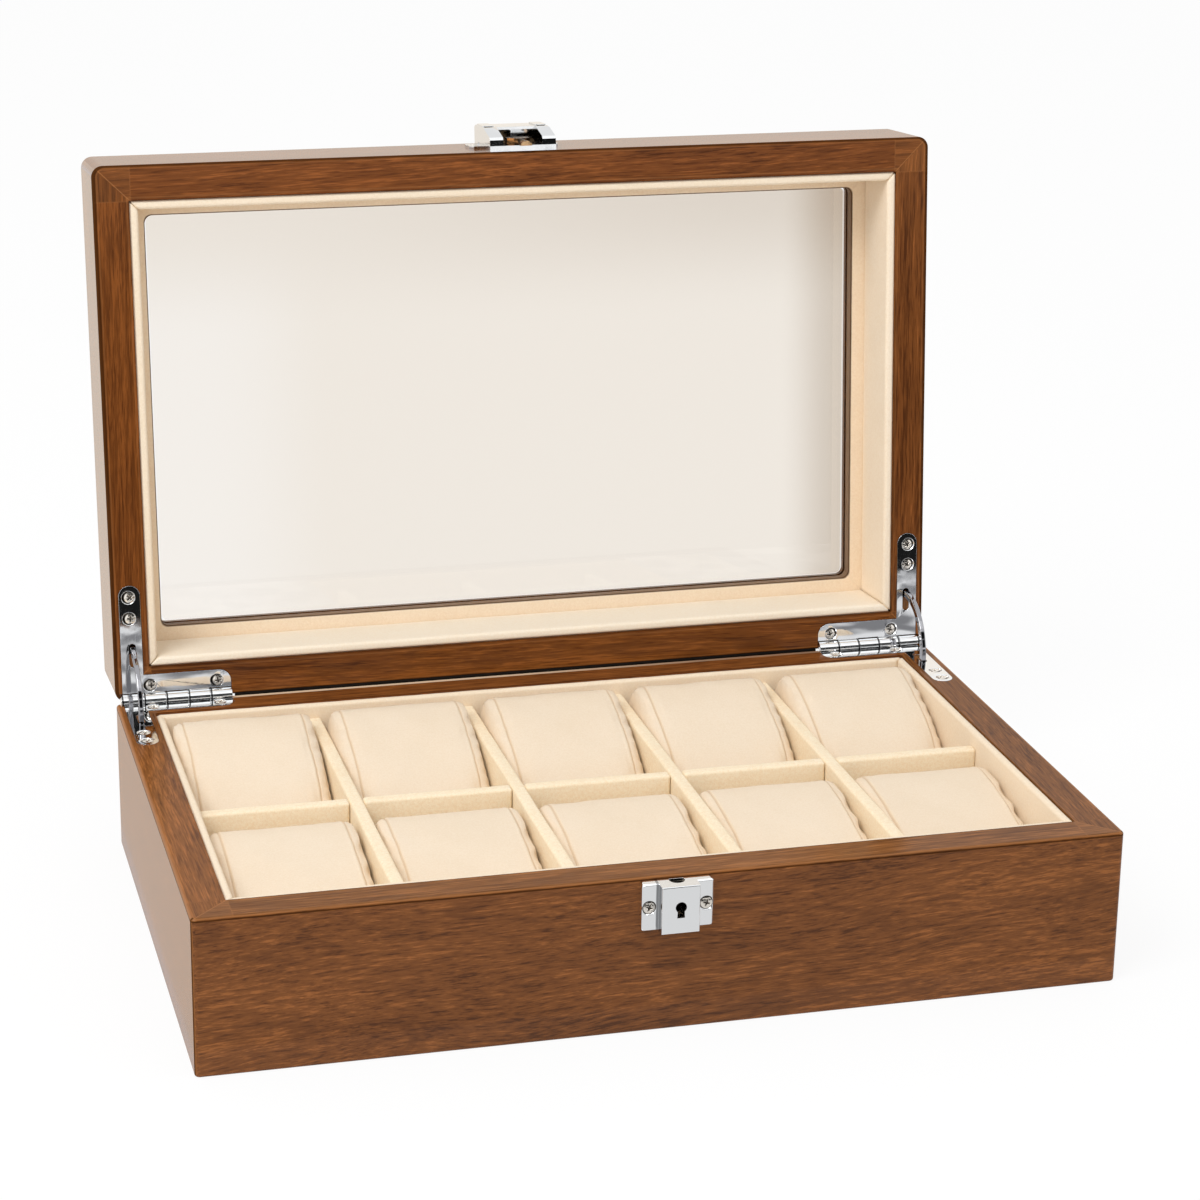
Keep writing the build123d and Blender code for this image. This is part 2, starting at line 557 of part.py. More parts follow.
def catch():
    """Catch on the lid's front: sloped arms, lip and mouth, with the hook inside."""
    front = -HALF_D
    z = LID_RIM
    side = Polyline((0, CATCH_START), (CATCH_NOSE_T, CATCH_START),
                    (CATCH_NOSE_T + CASE_SKIN, CATCH_START + CASE_SKIN), (CATCH_T, CATCH_SLOPE_END),
                    (CATCH_T, CATCH_H - CASE_SKIN), (CATCH_T - CASE_SKIN, CATCH_H), (0, CATCH_H), close=True)
    plane = Plane((-CATCH_W / 2, front, z), x_dir=(0, -1, 0), z_dir=(-1, 0, 0))
    housing = extrude(plane * make_face(side), -CATCH_W)
    front_edges = housing.edges().filter_by(Axis.Z).group_by(Axis.Y)[0]
    housing = chamfer(front_edges, LOBE_RISE)
    for sign in (-1, 1):
        lobe_x = sign * (CATCH_W + CATCH_MOUTH_W) / 4
        lobe_w = (CATCH_W - CATCH_MOUTH_W) / 2 - 2 * LOBE_RISE
        lobe = block(lobe_x - lobe_w / 2, lobe_x + lobe_w / 2, front - CATCH_T - LOBE_RISE,
                     front - CATCH_T + CUT, z + LOBE_START, z + CATCH_H - 2 * CASE_SKIN)
        housing += fillet(lobe.edges().filter_by(Axis.Y), 2 * LOBE_RISE)
    half = CATCH_MOUTH_W / 2
    housing -= block(-half, half, front - CATCH_T - CUT, front - LIP_OUT, z - CUT, z + CATCH_SLOPE_END)
    housing -= block(-half, half, front - CATCH_T + CATCH_SKIN, front - CATCH_SKIN,
                     z + CATCH_START + LIP_HEIGHT, z + CATCH_H - CATCH_SKIN)
    wing_x = CATCH_W / 2 + CATCH_WING_L
    wing = block(-wing_x, wing_x, front - CATCH_WING_T, front, z + CATCH_WING_START, z + CATCH_WING_END)
    housing += fillet(wing.edges().filter_by(Axis.Y), 2 * CASE_SKIN)
    screws = []
    for x in (-catch_screw_x(), catch_screw_x()):
        place = front_place(x, CATCH_WING_T, catch_screw_z())
        housing -= place * screw_hole(CATCH_WING_T + FRONT_SCREW_L)
        screws.append(opened(place * screw(CATCH_WING_T + FRONT_SCREW_L)))
    save("catch_housing", opened(housing))
    save("catch_screws", *screws)
    hook_half = MOUTH_R - HOOK_FIT
    tongue = Pos(0, front - MOUTH_Y) * Circle(hook_half)
    tongue &= Pos(0, hook_back() - MOUTH_R) * Rectangle(2 * MOUTH_R, 2 * MOUTH_R)
    hook = extrude(Pos(0, 0, z - HOOK_REACH) * tongue, HOOK_REACH + HOOK_ROOT)
    root = block(-HOOK_ROOT_W / 2, HOOK_ROOT_W / 2, hook_front(), front - CATCH_SKIN,
                 z + CATCH_SLOPE_END / 2, z + HOOK_ROOT)
    root = chamfer(root.edges().filter_by(Axis.Y).group_by(Axis.Z)[0], HOOK_ROOT_W / 4)
    hook += root
    notch_top = z - NOTCH_BELOW
    hook -= block(-hook_half - CUT, BOLT_TRAVEL - hook_half, hook_front() - CUT, hook_back() + CUT,
                  notch_top - BOLT_T - BOLT_FIT, notch_top)
    save("catch_hook", opened(hook))


def pillow_section(top, x, shrink):
    """One cut through a pillow, in its Y-Z plane, drawn in by a share of its size."""
    half = ROW_D / 2 - PILLOW_END_GAP
    back, middle, front = top
    low_back, low_front = (half, 0), (-half, 0)
    sides = [Line(low_front, low_back), Line(low_back, back), ThreePointArc(back, middle, front),
             Line(front, low_front)]
    cut = make_face(Curve() + sides)
    cut = soften(cut, low_back, PILLOW_LOW_R)
    cut = soften(cut, low_front, PILLOW_LOW_R)
    cut = soften(cut, back, PILLOW_CROWN_R)
    cut = soften(cut, front, PILLOW_NOSE_R)
    return Plane((x, 0, PILLOW_SEAT), x_dir=(0, 1, 0), z_dir=(1, 0, 0)) * scale(cut, 1 - shrink)


def pillow(top):
    """Crowned roll with drawn-in ends and a seam groove near each end."""
    half = COLUMN_W / 2 - PILLOW_SIDE_GAP
    left = [(inset - half, shrink) for inset, shrink in PILLOW_END]
    right = [(half - inset, shrink) for inset, shrink in reversed(PILLOW_END)]
    return loft([pillow_section(top, x, shrink) for x, shrink in left + [(0, 0)] + right], ruled=True)


def pillows():
    for row, side, top in (("back", 1, BACK_TOP), ("front", -1, FRONT_TOP)):
        roll = pillow(top)
        y = side * (ROW_D + DIVIDER_T) / 2
        for column in range(COLUMNS):
            save(f"pillow_{row}_{column + 1}", Pos(column_x(column), y, FLOOR_Z) * roll)


base_walls()
base_bottom()
base_lining()
dividers()
lid_frame()
lid_inside()
hinges()
stay_arms()
lock()
lock_works()
catch()
pillows()

os.makedirs("parts", exist_ok=True)
for name, solids in nodes.items():
    export_step(Compound(solids), f"parts/{name}.step")
print(len(nodes), "pieces,", sum(len(solids) for solids in nodes.values()), "solids")
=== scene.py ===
import json
import math

import bmesh
import bpy
import numpy as np
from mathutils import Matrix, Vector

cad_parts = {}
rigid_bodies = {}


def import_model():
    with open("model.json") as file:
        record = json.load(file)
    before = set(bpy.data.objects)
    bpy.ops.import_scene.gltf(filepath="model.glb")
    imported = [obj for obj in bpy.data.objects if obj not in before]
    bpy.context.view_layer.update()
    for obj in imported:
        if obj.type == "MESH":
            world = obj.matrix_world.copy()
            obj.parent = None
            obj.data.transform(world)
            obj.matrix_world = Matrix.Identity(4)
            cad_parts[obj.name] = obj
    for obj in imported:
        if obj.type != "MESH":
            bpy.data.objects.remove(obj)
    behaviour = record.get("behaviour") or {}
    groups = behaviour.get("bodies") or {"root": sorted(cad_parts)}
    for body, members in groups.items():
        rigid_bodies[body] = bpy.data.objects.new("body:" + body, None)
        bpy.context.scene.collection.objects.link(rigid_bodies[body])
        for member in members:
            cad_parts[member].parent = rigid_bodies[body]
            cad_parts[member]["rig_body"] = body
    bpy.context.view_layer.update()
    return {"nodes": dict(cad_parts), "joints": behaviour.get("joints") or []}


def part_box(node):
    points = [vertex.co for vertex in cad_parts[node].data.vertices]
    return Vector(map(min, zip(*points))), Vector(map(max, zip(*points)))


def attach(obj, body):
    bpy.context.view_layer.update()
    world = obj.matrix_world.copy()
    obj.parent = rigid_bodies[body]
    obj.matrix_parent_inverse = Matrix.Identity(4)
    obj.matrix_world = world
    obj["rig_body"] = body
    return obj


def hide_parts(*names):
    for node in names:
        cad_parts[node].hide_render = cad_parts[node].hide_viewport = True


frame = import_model()


# The walls of the base and the rails of the lid are boards veneered in walnut, mitred at their
# corners and lacquered to a satin gloss. Each corner of a rim is faced with a square of veneer,
# so that a mitre line and two straight joints show there.
MM = 0.001
lid_joint = next(joint for joint in frame["joints"] if joint["name"] == "lid_swing")
HINGE_Y, HINGE_Z = lid_joint["pos_m"][1:]
OPEN_ANGLE = math.radians(-lid_joint["range_deg"][0])
HALF_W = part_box("base_front_wall")[1].x
HALF_D = -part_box("base_front_wall")[0].y
WALL = HALF_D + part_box("base_front_wall")[1].y
BASE_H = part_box("base_left_wall")[1].z
VENEER_LIGHT = (0.330, 0.118, 0.033, 1)
VENEER_MIDDLE = (0.190, 0.066, 0.018, 1)
VENEER_DARK = (0.082, 0.027, 0.008, 1)
# The joint colour also paints the bright highlight lines along the rims' edges, and the edge colour
# paints their dark lines of painted shade.
JOINT_AND_HIGHLIGHT_COLOUR = (0.46, 0.190, 0.060, 1)
PAINTED_EDGE_SHADE = (0.045, 0.016, 0.005, 1)
# A painted highlight along the back rim.
PAINTED_BACK_HIGHLIGHT = (0.80, 0.61, 0.43, 1)
RIM_GAP = 2 * (HINGE_Z - BASE_H)
CORNER_R = {"base": 1.8 * MM, "lid": 4.2 * MM}
GRAIN = {"drift": (7, 18, 18), "figure": (8, 55, 55), "veins": (6, 42, 42), "streaks": (70, 800, 800),
         "fibres": (190, 2100, 2100), "pores": (150, 1900, 1900)}    # features per metre along X, Y, Z
DRIFT = (0.02, 0.016, 0.016)
STREAKS_SHARE, FIBRES_SHARE = 0.55, 0.45
DARK_BELOW, MIDDLE_AT, LIGHT_ABOVE = 0.33, 0.50, 0.68
PORES_FROM, PORES_TO, PORE_SHADE = 0.55, 0.66, 0.50
VEINS_AT, VEIN_W, VEIN_SHADE = 0.52, 0.014, 0.30
SMOOTH_WOOD, OPEN_PORE = 0.38, 0.55
GRAIN_DEPTH = 0.02 * MM
SQUARE_SHIFT = (0.31, 0.17, 0.05)
RIM_GRAIN = 0.5
RIM_GLOSS = {"base": 0.52, "lid": 0.35}
LACQUER_IOR = {"base": 1.30, "lid": 1.45}
JOINT_LINE_W = 0.16 * MM
JOINT_SHARES = {"base": (0.06, 0.15, 0.40), "lid": (0.10, 0.12, 0.42)}
# Where the painted shade and the painted highlights run along the rims' edges, and how strong they are.
LID_DARK = (0.60 * MM, 0.90 * MM)
LID_BRIGHT, LID_INNER = (1.15 * MM, 0.35 * MM), (1.2 * MM, 0.4 * MM)
LID_BRIGHT_SHARE = 0.3
BASE_DARK, BASE_UPRIGHT = (1.00 * MM, 0.35 * MM), (1.20 * MM, 0.5 * MM)
BASE_FACE, BASE_SIDE = (0.1 * MM, 0.3 * MM), (0.4 * MM, 0.7 * MM)
BASE_BRIGHT, BASE_BRIGHT_SHARE = (0.55 * MM, 0.75 * MM), 0.70
LINER_SHADE, LINER_SHADE_SHARE = (0.15 * MM, 0.5 * MM), 0.75
BRIGHT_SHARE, DARK_SHARE = 0.6, 0.8
FLOAT, VECTOR, COLOUR = "NodeSocketFloat", "NodeSocketVector", "NodeSocketColor"
GLEAM_LINE = (1.7 * MM, 1.3 * MM)
GLEAM_X, GLEAM_SHARES = (-0.04, 0.10), (0.95, 0.25)


def add(tree, kind, inputs=None, **settings):
    """Add a shader node, set its properties, and fill or link its inputs by name or number."""
    made = tree.nodes.new(kind)
    for key, value in settings.items():
        setattr(made, key, value)
    for key, value in (inputs or {}).items():
        if isinstance(value, bpy.types.NodeSocket):
            tree.links.new(value, made.inputs[key])
        else:
            made.inputs[key].default_value = value
    return made


def calculate(tree, operation, *values, clamp=False):
    """One Math node on numbers or sockets; returns its result."""
    inputs = dict(enumerate(values))
    return add(tree, "ShaderNodeMath", inputs, operation=operation, use_clamp=clamp).outputs[0]


def times(tree, first, second):
    return calculate(tree, "MULTIPLY", first, second)


def minus(tree, first, second):
    return calculate(tree, "SUBTRACT", first, second)


def larger(tree, first, second):
    return calculate(tree, "MAXIMUM", first, second)


def vector_maths(tree, operation, *values):
    inputs = dict(enumerate(values))
    return add(tree, "ShaderNodeVectorMath", inputs, operation=operation).outputs[0]


def rescale(tree, value, low, high, new_low=0.0, new_high=1.0):
    """Carry a range of values onto another, clamped, with soft ends."""
    inputs = {"Value": value, "From Min": low, "From Max": high, "To Min": new_low, "To Max": new_high}
    return add(tree, "ShaderNodeMapRange", inputs, interpolation_type="SMOOTHSTEP").outputs["Result"]


def place_on(tree):
    """Each point's place on the whole object, in metres."""
    return add(tree, "ShaderNodeTexCoord").outputs["Object"]


def part_of(tree, vector, axis):
    return add(tree, "ShaderNodeSeparateXYZ", {0: vector}).outputs[axis]


def feed(tree, node, **values):
    """Link results to a node's inputs, each by its name with _ for a space."""
    for label, value in values.items():
        tree.links.new(value, node.inputs[label.replace("_", " ")])


def blend_colours(tree, share, first, second):
    made = add(tree, "ShaderNodeMix", {0: share}, data_type="RGBA")
    for socket, value in ((made.inputs[6], first), (made.inputs[7], second)):
        if isinstance(value, bpy.types.NodeSocket):
            tree.links.new(value, socket)
        else:
            socket.default_value = value
    return made.outputs[2]


def noise(tree, vector, scale, detail=2.0, roughness=0.5, output="Fac"):
    """Noise stretched by a scale of its own along each axis, in features per metre."""
    stretched = vector_maths(tree, "MULTIPLY", vector, scale)
    inputs = {"Vector": stretched, "Scale": 1.0, "Detail": detail, "Roughness": roughness}
    return add(tree, "ShaderNodeTexNoise", inputs).outputs[output]


def new_group(name, inputs, outputs):
    """Make a node group with named inputs and outputs; returns its tree and its two end nodes."""
    tree = bpy.data.node_groups.new(name, "ShaderNodeTree")
    for label, kind, value in inputs:
        socket = tree.interface.new_socket(name=label, in_out="INPUT", socket_type=kind)
        if value is not None:
            socket.default_value = value
    for label, kind in outputs:
        tree.interface.new_socket(name=label, in_out="OUTPUT", socket_type=kind)
    return tree, tree.nodes.new("NodeGroupInput"), tree.nodes.new("NodeGroupOutput")


def line_mask(tree, value, middle, reach):
    """1 where a value is at its middle, falling to 0 at a reach to both sides."""
    away = calculate(tree, "ABSOLUTE", minus(tree, value, middle))
    return rescale(tree, away, 0.5 * reach, reach, 1.0, 0.0)


def slant_of(tree, first, second):
    """The slant over two legs: the square root of first^2 + second^2."""
    second = times(tree, second, second)
    return calculate(tree, "SQRT", calculate(tree, "MULTIPLY_ADD", first, first, second))


def make_grain_group():
    """Walnut: weak wide figure, streaks, fibres and short dark pores, all drawn out along X."""
    tree, entry, leave = new_group(
        "walnut_grain",
        (("Vector", VECTOR, None), ("Slope", FLOAT, 0.05), ("Figure", FLOAT, 0.25),
         ("Light", COLOUR, VENEER_LIGHT), ("Middle", COLOUR, VENEER_MIDDLE),
         ("Dark", COLOUR, VENEER_DARK)),
        (("Color", COLOUR), ("Roughness", FLOAT), ("Height", FLOAT)))
    vector = entry.outputs["Vector"]
    length = part_of(tree, vector, "X")
    rise = times(tree, times(tree, length, entry.outputs["Slope"]), -1)
    leaning = add(tree, "ShaderNodeCombineXYZ", {"X": 0, "Y": rise, "Z": rise}).outputs[0]
    vector = vector_maths(tree, "ADD", vector, leaning)
    drift = noise(tree, vector, GRAIN["drift"], output="Color")
    drift = vector_maths(tree, "SUBTRACT", drift, (0.5, 0.5, 0.5))
    grain = vector_maths(tree, "ADD", vector, vector_maths(tree, "MULTIPLY", drift, DRIFT))
    figure = noise(tree, grain, GRAIN["figure"], 3.0, 0.5)
    streaks = noise(tree, grain, GRAIN["streaks"], 3.0, 0.6)
    fibres = noise(tree, grain, GRAIN["fibres"], 2.0, 0.6)
    pores = rescale(tree, noise(tree, grain, GRAIN["pores"], 2.0, 0.6), PORES_FROM, PORES_TO)
    veins = line_mask(tree, noise(tree, grain, GRAIN["veins"], 2.0, 0.5), VEINS_AT, VEIN_W)
    shade = times(tree, minus(tree, figure, 0.5), entry.outputs["Figure"])
    shade = calculate(tree, "MULTIPLY_ADD", streaks, STREAKS_SHARE, shade)
    shade = calculate(tree, "MULTIPLY_ADD", fibres, FIBRES_SHARE, shade)
    darker = rescale(tree, shade, DARK_BELOW, MIDDLE_AT)
    lighter = rescale(tree, shade, MIDDLE_AT, LIGHT_ABOVE)
    colour = blend_colours(tree, darker, entry.outputs["Dark"], entry.outputs["Middle"])
    colour = blend_colours(tree, lighter, colour, entry.outputs["Light"])
    marks = larger(tree, times(tree, pores, PORE_SHADE), times(tree, veins, VEIN_SHADE))
    colour = blend_colours(tree, marks, colour, entry.outputs["Dark"])
    height = minus(tree, times(tree, fibres, 0.3), pores)
    dull = rescale(tree, pores, 0, 1, SMOOTH_WOOD, OPEN_PORE)
    feed(tree, leave, Color=colour, Roughness=dull, Height=height)
    return tree


def make_corner_group():
    """Masks for the veneer joints and the edges of a rim, read from places on the shut case.

    Inset, the distance in from the rounded outline, is r - |(max(r - x, 0), max(r - y, 0))|, with x
    and y the distances in from the side and from the end, and r the corner's radius.
    """
    tree, entry, leave = new_group(
        "rim_joints", (("Vector", VECTOR, None), ("Corner", FLOAT, 2 * MM)),
        [(label, FLOAT)
         for label in ("Mitre", "Butt", "Square", "Rim", "Inset", "Height", "Inner", "Side", "End")])
    parts = add(tree, "ShaderNodeSeparateXYZ", {0: entry.outputs["Vector"]})
    from_side = minus(tree, HALF_W, calculate(tree, "ABSOLUTE", parts.outputs["X"]))
    from_end = minus(tree, HALF_D, calculate(tree, "ABSOLUTE", parts.outputs["Y"]))
    level = calculate(tree, "ABSOLUTE", minus(tree, parts.outputs["Z"], HINGE_Z))
    height = minus(tree, level, RIM_GAP / 2)
    rim = rescale(tree, height, 0.1 * MM, 0.4 * MM, 1.0, 0.0)
    mitre = line_mask(tree, minus(tree, from_side, from_end), 0, 2 * JOINT_LINE_W)
    farthest = larger(tree, from_side, from_end)
    butt = line_mask(tree, farthest, WALL + JOINT_LINE_W, 2 * JOINT_LINE_W)
    square = rescale(tree, farthest, WALL, WALL + JOINT_LINE_W, 1.0, 0.0)
    slant = slant_of(tree, *(larger(tree, minus(tree, entry.outputs["Corner"], distance), 0)
                             for distance in (from_side, from_end)))
    feed(tree, leave, Mitre=times(tree, mitre, rim), Butt=times(tree, butt, rim),
         Square=times(tree, square, rim), Rim=rim, Height=height, Side=from_side, End=from_end,
         Inset=minus(tree, entry.outputs["Corner"], slant),
         Inner=minus(tree, WALL, calculate(tree, "MINIMUM", from_side, from_end)))
    return tree


grain_group = make_grain_group()
corner_group = make_corner_group()


def new_material(name, **constants):
    """A material with one Principled shader whose constant sockets are set by name."""
    material = bpy.data.materials.new(name)
    material.use_nodes = True
    tree = material.node_tree
    shader = tree.nodes["Principled BSDF"]
    for label, value in constants.items():
        shader.inputs[label.replace("_", " ")].default_value = value
    return material, tree, shader


def add_bump(tree, shader, height, distance, strength=1.0):
    """Raise the surface by a height from 0 to 1, over a distance in metres."""
    bump = add(tree, "ShaderNodeBump", {"Height": height, "Distance": distance, "Strength": strength})
    feed(tree, shader, Normal=bump.outputs["Normal"])


def turn_to_shut(tree, vector):
    """Turn places on the open lid back about the hinge axis to where they are on the shut lid."""
    cos, sin = math.cos(OPEN_ANGLE), math.sin(OPEN_ANGLE)
    back_y = HINGE_Y - (cos * HINGE_Y - sin * HINGE_Z)
    back_z = HINGE_Z - (sin * HINGE_Y + cos * HINGE_Z)
    inputs = {"Vector": vector, "Location": (0, back_y, back_z), "Rotation": (OPEN_ANGLE, 0, 0)}
    return add(tree, "ShaderNodeMapping", inputs).outputs[0]


def edge_lines(tree, corner, on_lid):
    """Painted lines along the edges of a rim, as two masks: a dark line of painted shade and reflection
    on the rounded edge, with painted shade beside the liner, and a bright line of painted highlight.
    """
    inset, height, inner = (corner.outputs[label] for label in ("Inset", "Height", "Inner"))
    edge = calculate(tree, "ADD", inset, height)
    rim = corner.outputs["Rim"]
    if on_lid:
        dark = rescale(tree, edge, *LID_DARK, 1.0, 0.0)
        bright = times(tree, line_mask(tree, inset, *LID_BRIGHT), rim)
        second = times(tree, line_mask(tree, inner, *LID_INNER), rim)
        bright = times(tree, larger(tree, second, bright), LID_BRIGHT_SHARE)
    else:
        on_face = rescale(tree, inset, *BASE_FACE, 1.0, 0.0)
        dark = times(tree, line_mask(tree, height, *BASE_DARK), on_face)
        upright = times(tree, line_mask(tree, corner.outputs["End"], *BASE_UPRIGHT),
                        rescale(tree, corner.outputs["Side"], *BASE_SIDE, 1.0, 0.0))
        dark = larger(tree, dark, upright)
        bright = rescale(tree, edge, *BASE_BRIGHT, BASE_BRIGHT_SHARE, 0.0)
    beside = times(tree, rescale(tree, inner, *LINER_SHADE, LINER_SHADE_SHARE, 0.0), rim)
    return larger(tree, dark, beside), bright


def walnut(name, on_lid, across, offset, tint, gloss, slope, figure, face, calm):
    """Lacquered walnut for one board, with its grain along the board, its joints, and painted shade and
    painted highlights along its edges.

    The outer face is the rim's colour times the colour face, its grain quieter by the share calm.
    """
    body = "lid" if on_lid else "base"
    material, tree, shader = new_material(
        name, Coat_Roughness=0.16, Coat_IOR=LACQUER_IOR[body], Specular_IOR_Level=0.0)
    place = place_on(tree)
    if on_lid:
        place = turn_to_shut(tree, place)
    corner = add(tree, "ShaderNodeGroup", {"Vector": place, "Corner": CORNER_R[body]},
                 node_tree=corner_group)
    moved = add(tree, "ShaderNodeMapping",
                {"Vector": place, "Location": offset, "Rotation": (0, 0, math.pi / 2 if across else 0)})
    square_shift = vector_maths(tree, "SCALE", SQUARE_SHIFT)
    feed(tree, square_shift.node, Scale=corner.outputs["Square"])
    grain_place = vector_maths(tree, "ADD", moved.outputs[0], square_shift)
    longer = rescale(tree, corner.outputs["Rim"], 0, 1, 1, RIM_GRAIN)
    stretch = add(tree, "ShaderNodeCombineXYZ", {"X": longer, "Y": 1, "Z": 1})
    grain_place = vector_maths(tree, "MULTIPLY", grain_place, stretch.outputs[0])
    grain = add(tree, "ShaderNodeGroup", {"Vector": grain_place, "Slope": slope, "Figure": figure},
                node_tree=grain_group)
    for label, colour in (("Light", VENEER_LIGHT), ("Middle", VENEER_MIDDLE), ("Dark", VENEER_DARK)):
        grain.inputs[label].default_value = [c * t for c, t in zip(colour, (*tint, 1))]
    outer = minus(tree, 1, corner.outputs["Rim"])
    plain = [c * t for c, t in zip(VENEER_MIDDLE, (*tint, 1))]
    colour = blend_colours(tree, times(tree, outer, calm), grain.outputs["Color"], plain)
    brighter = vector_maths(tree, "MULTIPLY", colour, face)
    colour = blend_colours(tree, outer, colour, brighter)
    squares, butts, mitres = JOINT_SHARES[body]
    if across and not on_lid:
        squares = butts = 0
    for label, strength in (("Square", squares), ("Butt", butts), ("Mitre", mitres)):
        share = times(tree, corner.outputs[label], strength)
        colour = blend_colours(tree, share, colour, JOINT_AND_HIGHLIGHT_COLOUR)
    # Painted highlight in a bright line, and painted shade in a dark line along the edges and beside
    # the liner.
    dark, bright = edge_lines(tree, corner, on_lid)
    colour = blend_colours(tree, times(tree, bright, BRIGHT_SHARE), colour, JOINT_AND_HIGHLIGHT_COLOUR)
    # Painted highlight: a tan line along the back rim, just in from its back edge, fading towards the
    # right.
    if name.startswith("base_back"):
        along = part_of(tree, place, "X")
        fading = rescale(tree, along, *GLEAM_X, *GLEAM_SHARES)
        gleam = line_mask(tree, corner.outputs["End"], *GLEAM_LINE)
        colour = blend_colours(tree, times(tree, gleam, fading), colour, PAINTED_BACK_HIGHLIGHT)
    colour = blend_colours(tree, times(tree, dark, DARK_SHARE), colour, PAINTED_EDGE_SHADE)
    duller = times(tree, corner.outputs["Rim"], gloss - RIM_GLOSS[body])
    shine = minus(tree, gloss, duller)
    shine = times(tree, shine, calculate(tree, "SUBTRACT", 1, dark, clamp=True))
    feed(tree, shader, Base_Color=colour, Roughness=grain.outputs["Roughness"], Coat_Weight=shine)
    add_bump(tree, shader, grain.outputs["Height"], GRAIN_DEPTH, 0.5)
    return material


def dress(node, material):
    """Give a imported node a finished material."""
    mesh = frame["nodes"][node].data
    mesh.materials.clear()
    mesh.materials.append(material)


# Node, on the lid, runs front to back, place in the veneer, tint, gloss, slope, figure, face, calm
BOARDS = (
    ("base_front_wall", False, False, (0.10, 0.30, 0.02), (1.14, 1.26, 1.35),
     1.0, 0.045, 0.3, (0.85, 0.76, 0.66), 0.0),
    ("base_back_wall", False, False, (0.75, 0.10, 0.31), (1.12, 1.08, 1.00),
     1.0, 0.02, 0.3, (0.95, 0.93, 0.95), 0.0),
    ("base_left_wall", False, True, (0.40, 0.65, 0.12), (1.22, 1.26, 1.20),
     0.75, 0.04, 0.4, (1.03, 1.05, 0.92), 0.7),
    ("base_right_wall", False, True, (0.90, 0.20, 0.45), (1.05, 1.12, 1.10),
     0.60, -0.06, 0.3, (1.10, 1.2, 1.1), 0.3),
    ("lid_front_rail", True, False, (0.22, 0.52, 0.80), (0.90, 0.80, 0.68),
     0.84, -0.06, 0.6, (1.20, 1.38, 1.45), 0.6),
    ("lid_back_rail", True, False, (0.55, 0.83, 0.24), (0.85, 0.76, 0.50),
     1.0, 0.03, 0.6, (1.15, 1.2, 1.3), 0.3),
    ("lid_left_rail", True, True, (0.61, 0.37, 0.66), (0.71, 0.61, 0.44),
     1.0, 0.05, 0.6, (1.58, 1.96, 2.25), 0.7),
    ("lid_right_rail", True, True, (0.12, 0.77, 0.93), (0.98, 0.92, 0.82),
     0.74, 0.05, 0.6, (1.2, 1.4, 1.4), 0.3),
)
for board, *manner in BOARDS:
    dress(board, walnut(board + "_veneer", *manner))


# The bottom is a panel of fibreboard let into a rebate under the walls, with a thin felt pad
# glued to it, a little smaller than the case, so that the box stands softly on a table.
FELT_EDGE_R = 0.35 * MM
FLAT_SPACING = 6 * MM
ARC_STEPS = 4
WELD = 0.01 * MM
FELT_LIGHT, FELT_DARK = (0.10, 0.075, 0.055, 1), (0.045, 0.032, 0.022, 1)
FLECK_DARK, FLECK_LIGHT = (0.16, 0.095, 0.05, 1), (0.27, 0.17, 0.10, 1)
FLECKS = 900                                        # features per metre
FINE_PILE, COARSE_PILE, BRUSHED = 2300, 1000, 55    # features per metre


def edge_steps(low, high, radius, inner_steps):
    """Places along one side of a box: close together on the rounded ends, even in between."""
    angles = np.linspace(math.pi / 4, 0, ARC_STEPS + 1)
    end = radius * (1 - np.tan(angles))
    middle = np.linspace(low + radius, high - radius, inner_steps + 1)[1:-1]
    return np.concatenate([low + end, middle, (high - end)[::-1]])


def weld(points, faces):
    """Join points that lie at the same place, to a hundredth of a millimetre."""
    keys = np.round(points / WELD).astype(np.int64)
    first, joined = np.unique(keys, axis=0, return_index=True, return_inverse=True)[1:]
    return points[first], joined.reshape(-1)[faces]


def rounded_board(low, high, radius, spacing):
    """A box with every edge and corner rolled over.

    Each point q of the box's surface is carried to c + radius * (q - c) / |q - c|, where c is
    the nearest point to q of the box made smaller by the radius on every side.
    """
    low, high = np.array(low, float), np.array(high, float)
    counts = [max(2, int(size / spacing)) for size in high - low]
    steps = [edge_steps(low[k], high[k], radius, counts[k]) for k in range(3)]
    points, faces, count = [], [], 0
    for axis in range(3):
        b, c = (axis + 1) % 3, (axis + 2) % 3
        grid_b, grid_c = np.meshgrid(steps[b], steps[c], indexing="ij")
        rows, columns = grid_b.shape
        corner = np.arange(rows * columns).reshape(rows, columns)
        quads = np.stack([corner[:-1, :-1], corner[1:, :-1], corner[1:, 1:], corner[:-1, 1:]], -1)
        quads = quads.reshape(-1, 4)
        for side, level in ((-1, low[axis]), (1, high[axis])):
            sheet = np.empty((rows * columns, 3))
            sheet[:, axis], sheet[:, b], sheet[:, c] = level, grid_b.ravel(), grid_c.ravel()
            points.append(sheet)
            faces.append((quads if side > 0 else quads[:, ::-1]) + count)
            count += rows * columns
    points, faces = np.concatenate(points), np.concatenate(faces)
    core = np.clip(points, low + radius, high - radius)
    out = points - core
    points = core + radius * out / np.linalg.norm(out, axis=1, keepdims=True)
    return weld(points, faces)


def bring_in(name, data):
    """Make an object of a mesh, a lamp or a camera, and link it into the scene."""
    made = bpy.data.objects.new(name, data)
    bpy.context.scene.collection.objects.link(made)
    return made


def add_piece(name, points, faces, material, body, replaces=()):
    """Put a mesh into the scene, smooth-shaded, and let it ride on its body."""
    mesh = bpy.data.meshes.new(name)
    mesh.from_pydata(points.tolist(), [], faces if isinstance(faces, list) else faces.tolist())
    mesh.shade_smooth()
    mesh.materials.append(material)
    piece = bring_in(name, mesh)
    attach(piece, body)
    if replaces:
        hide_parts(*replaces)
    return piece


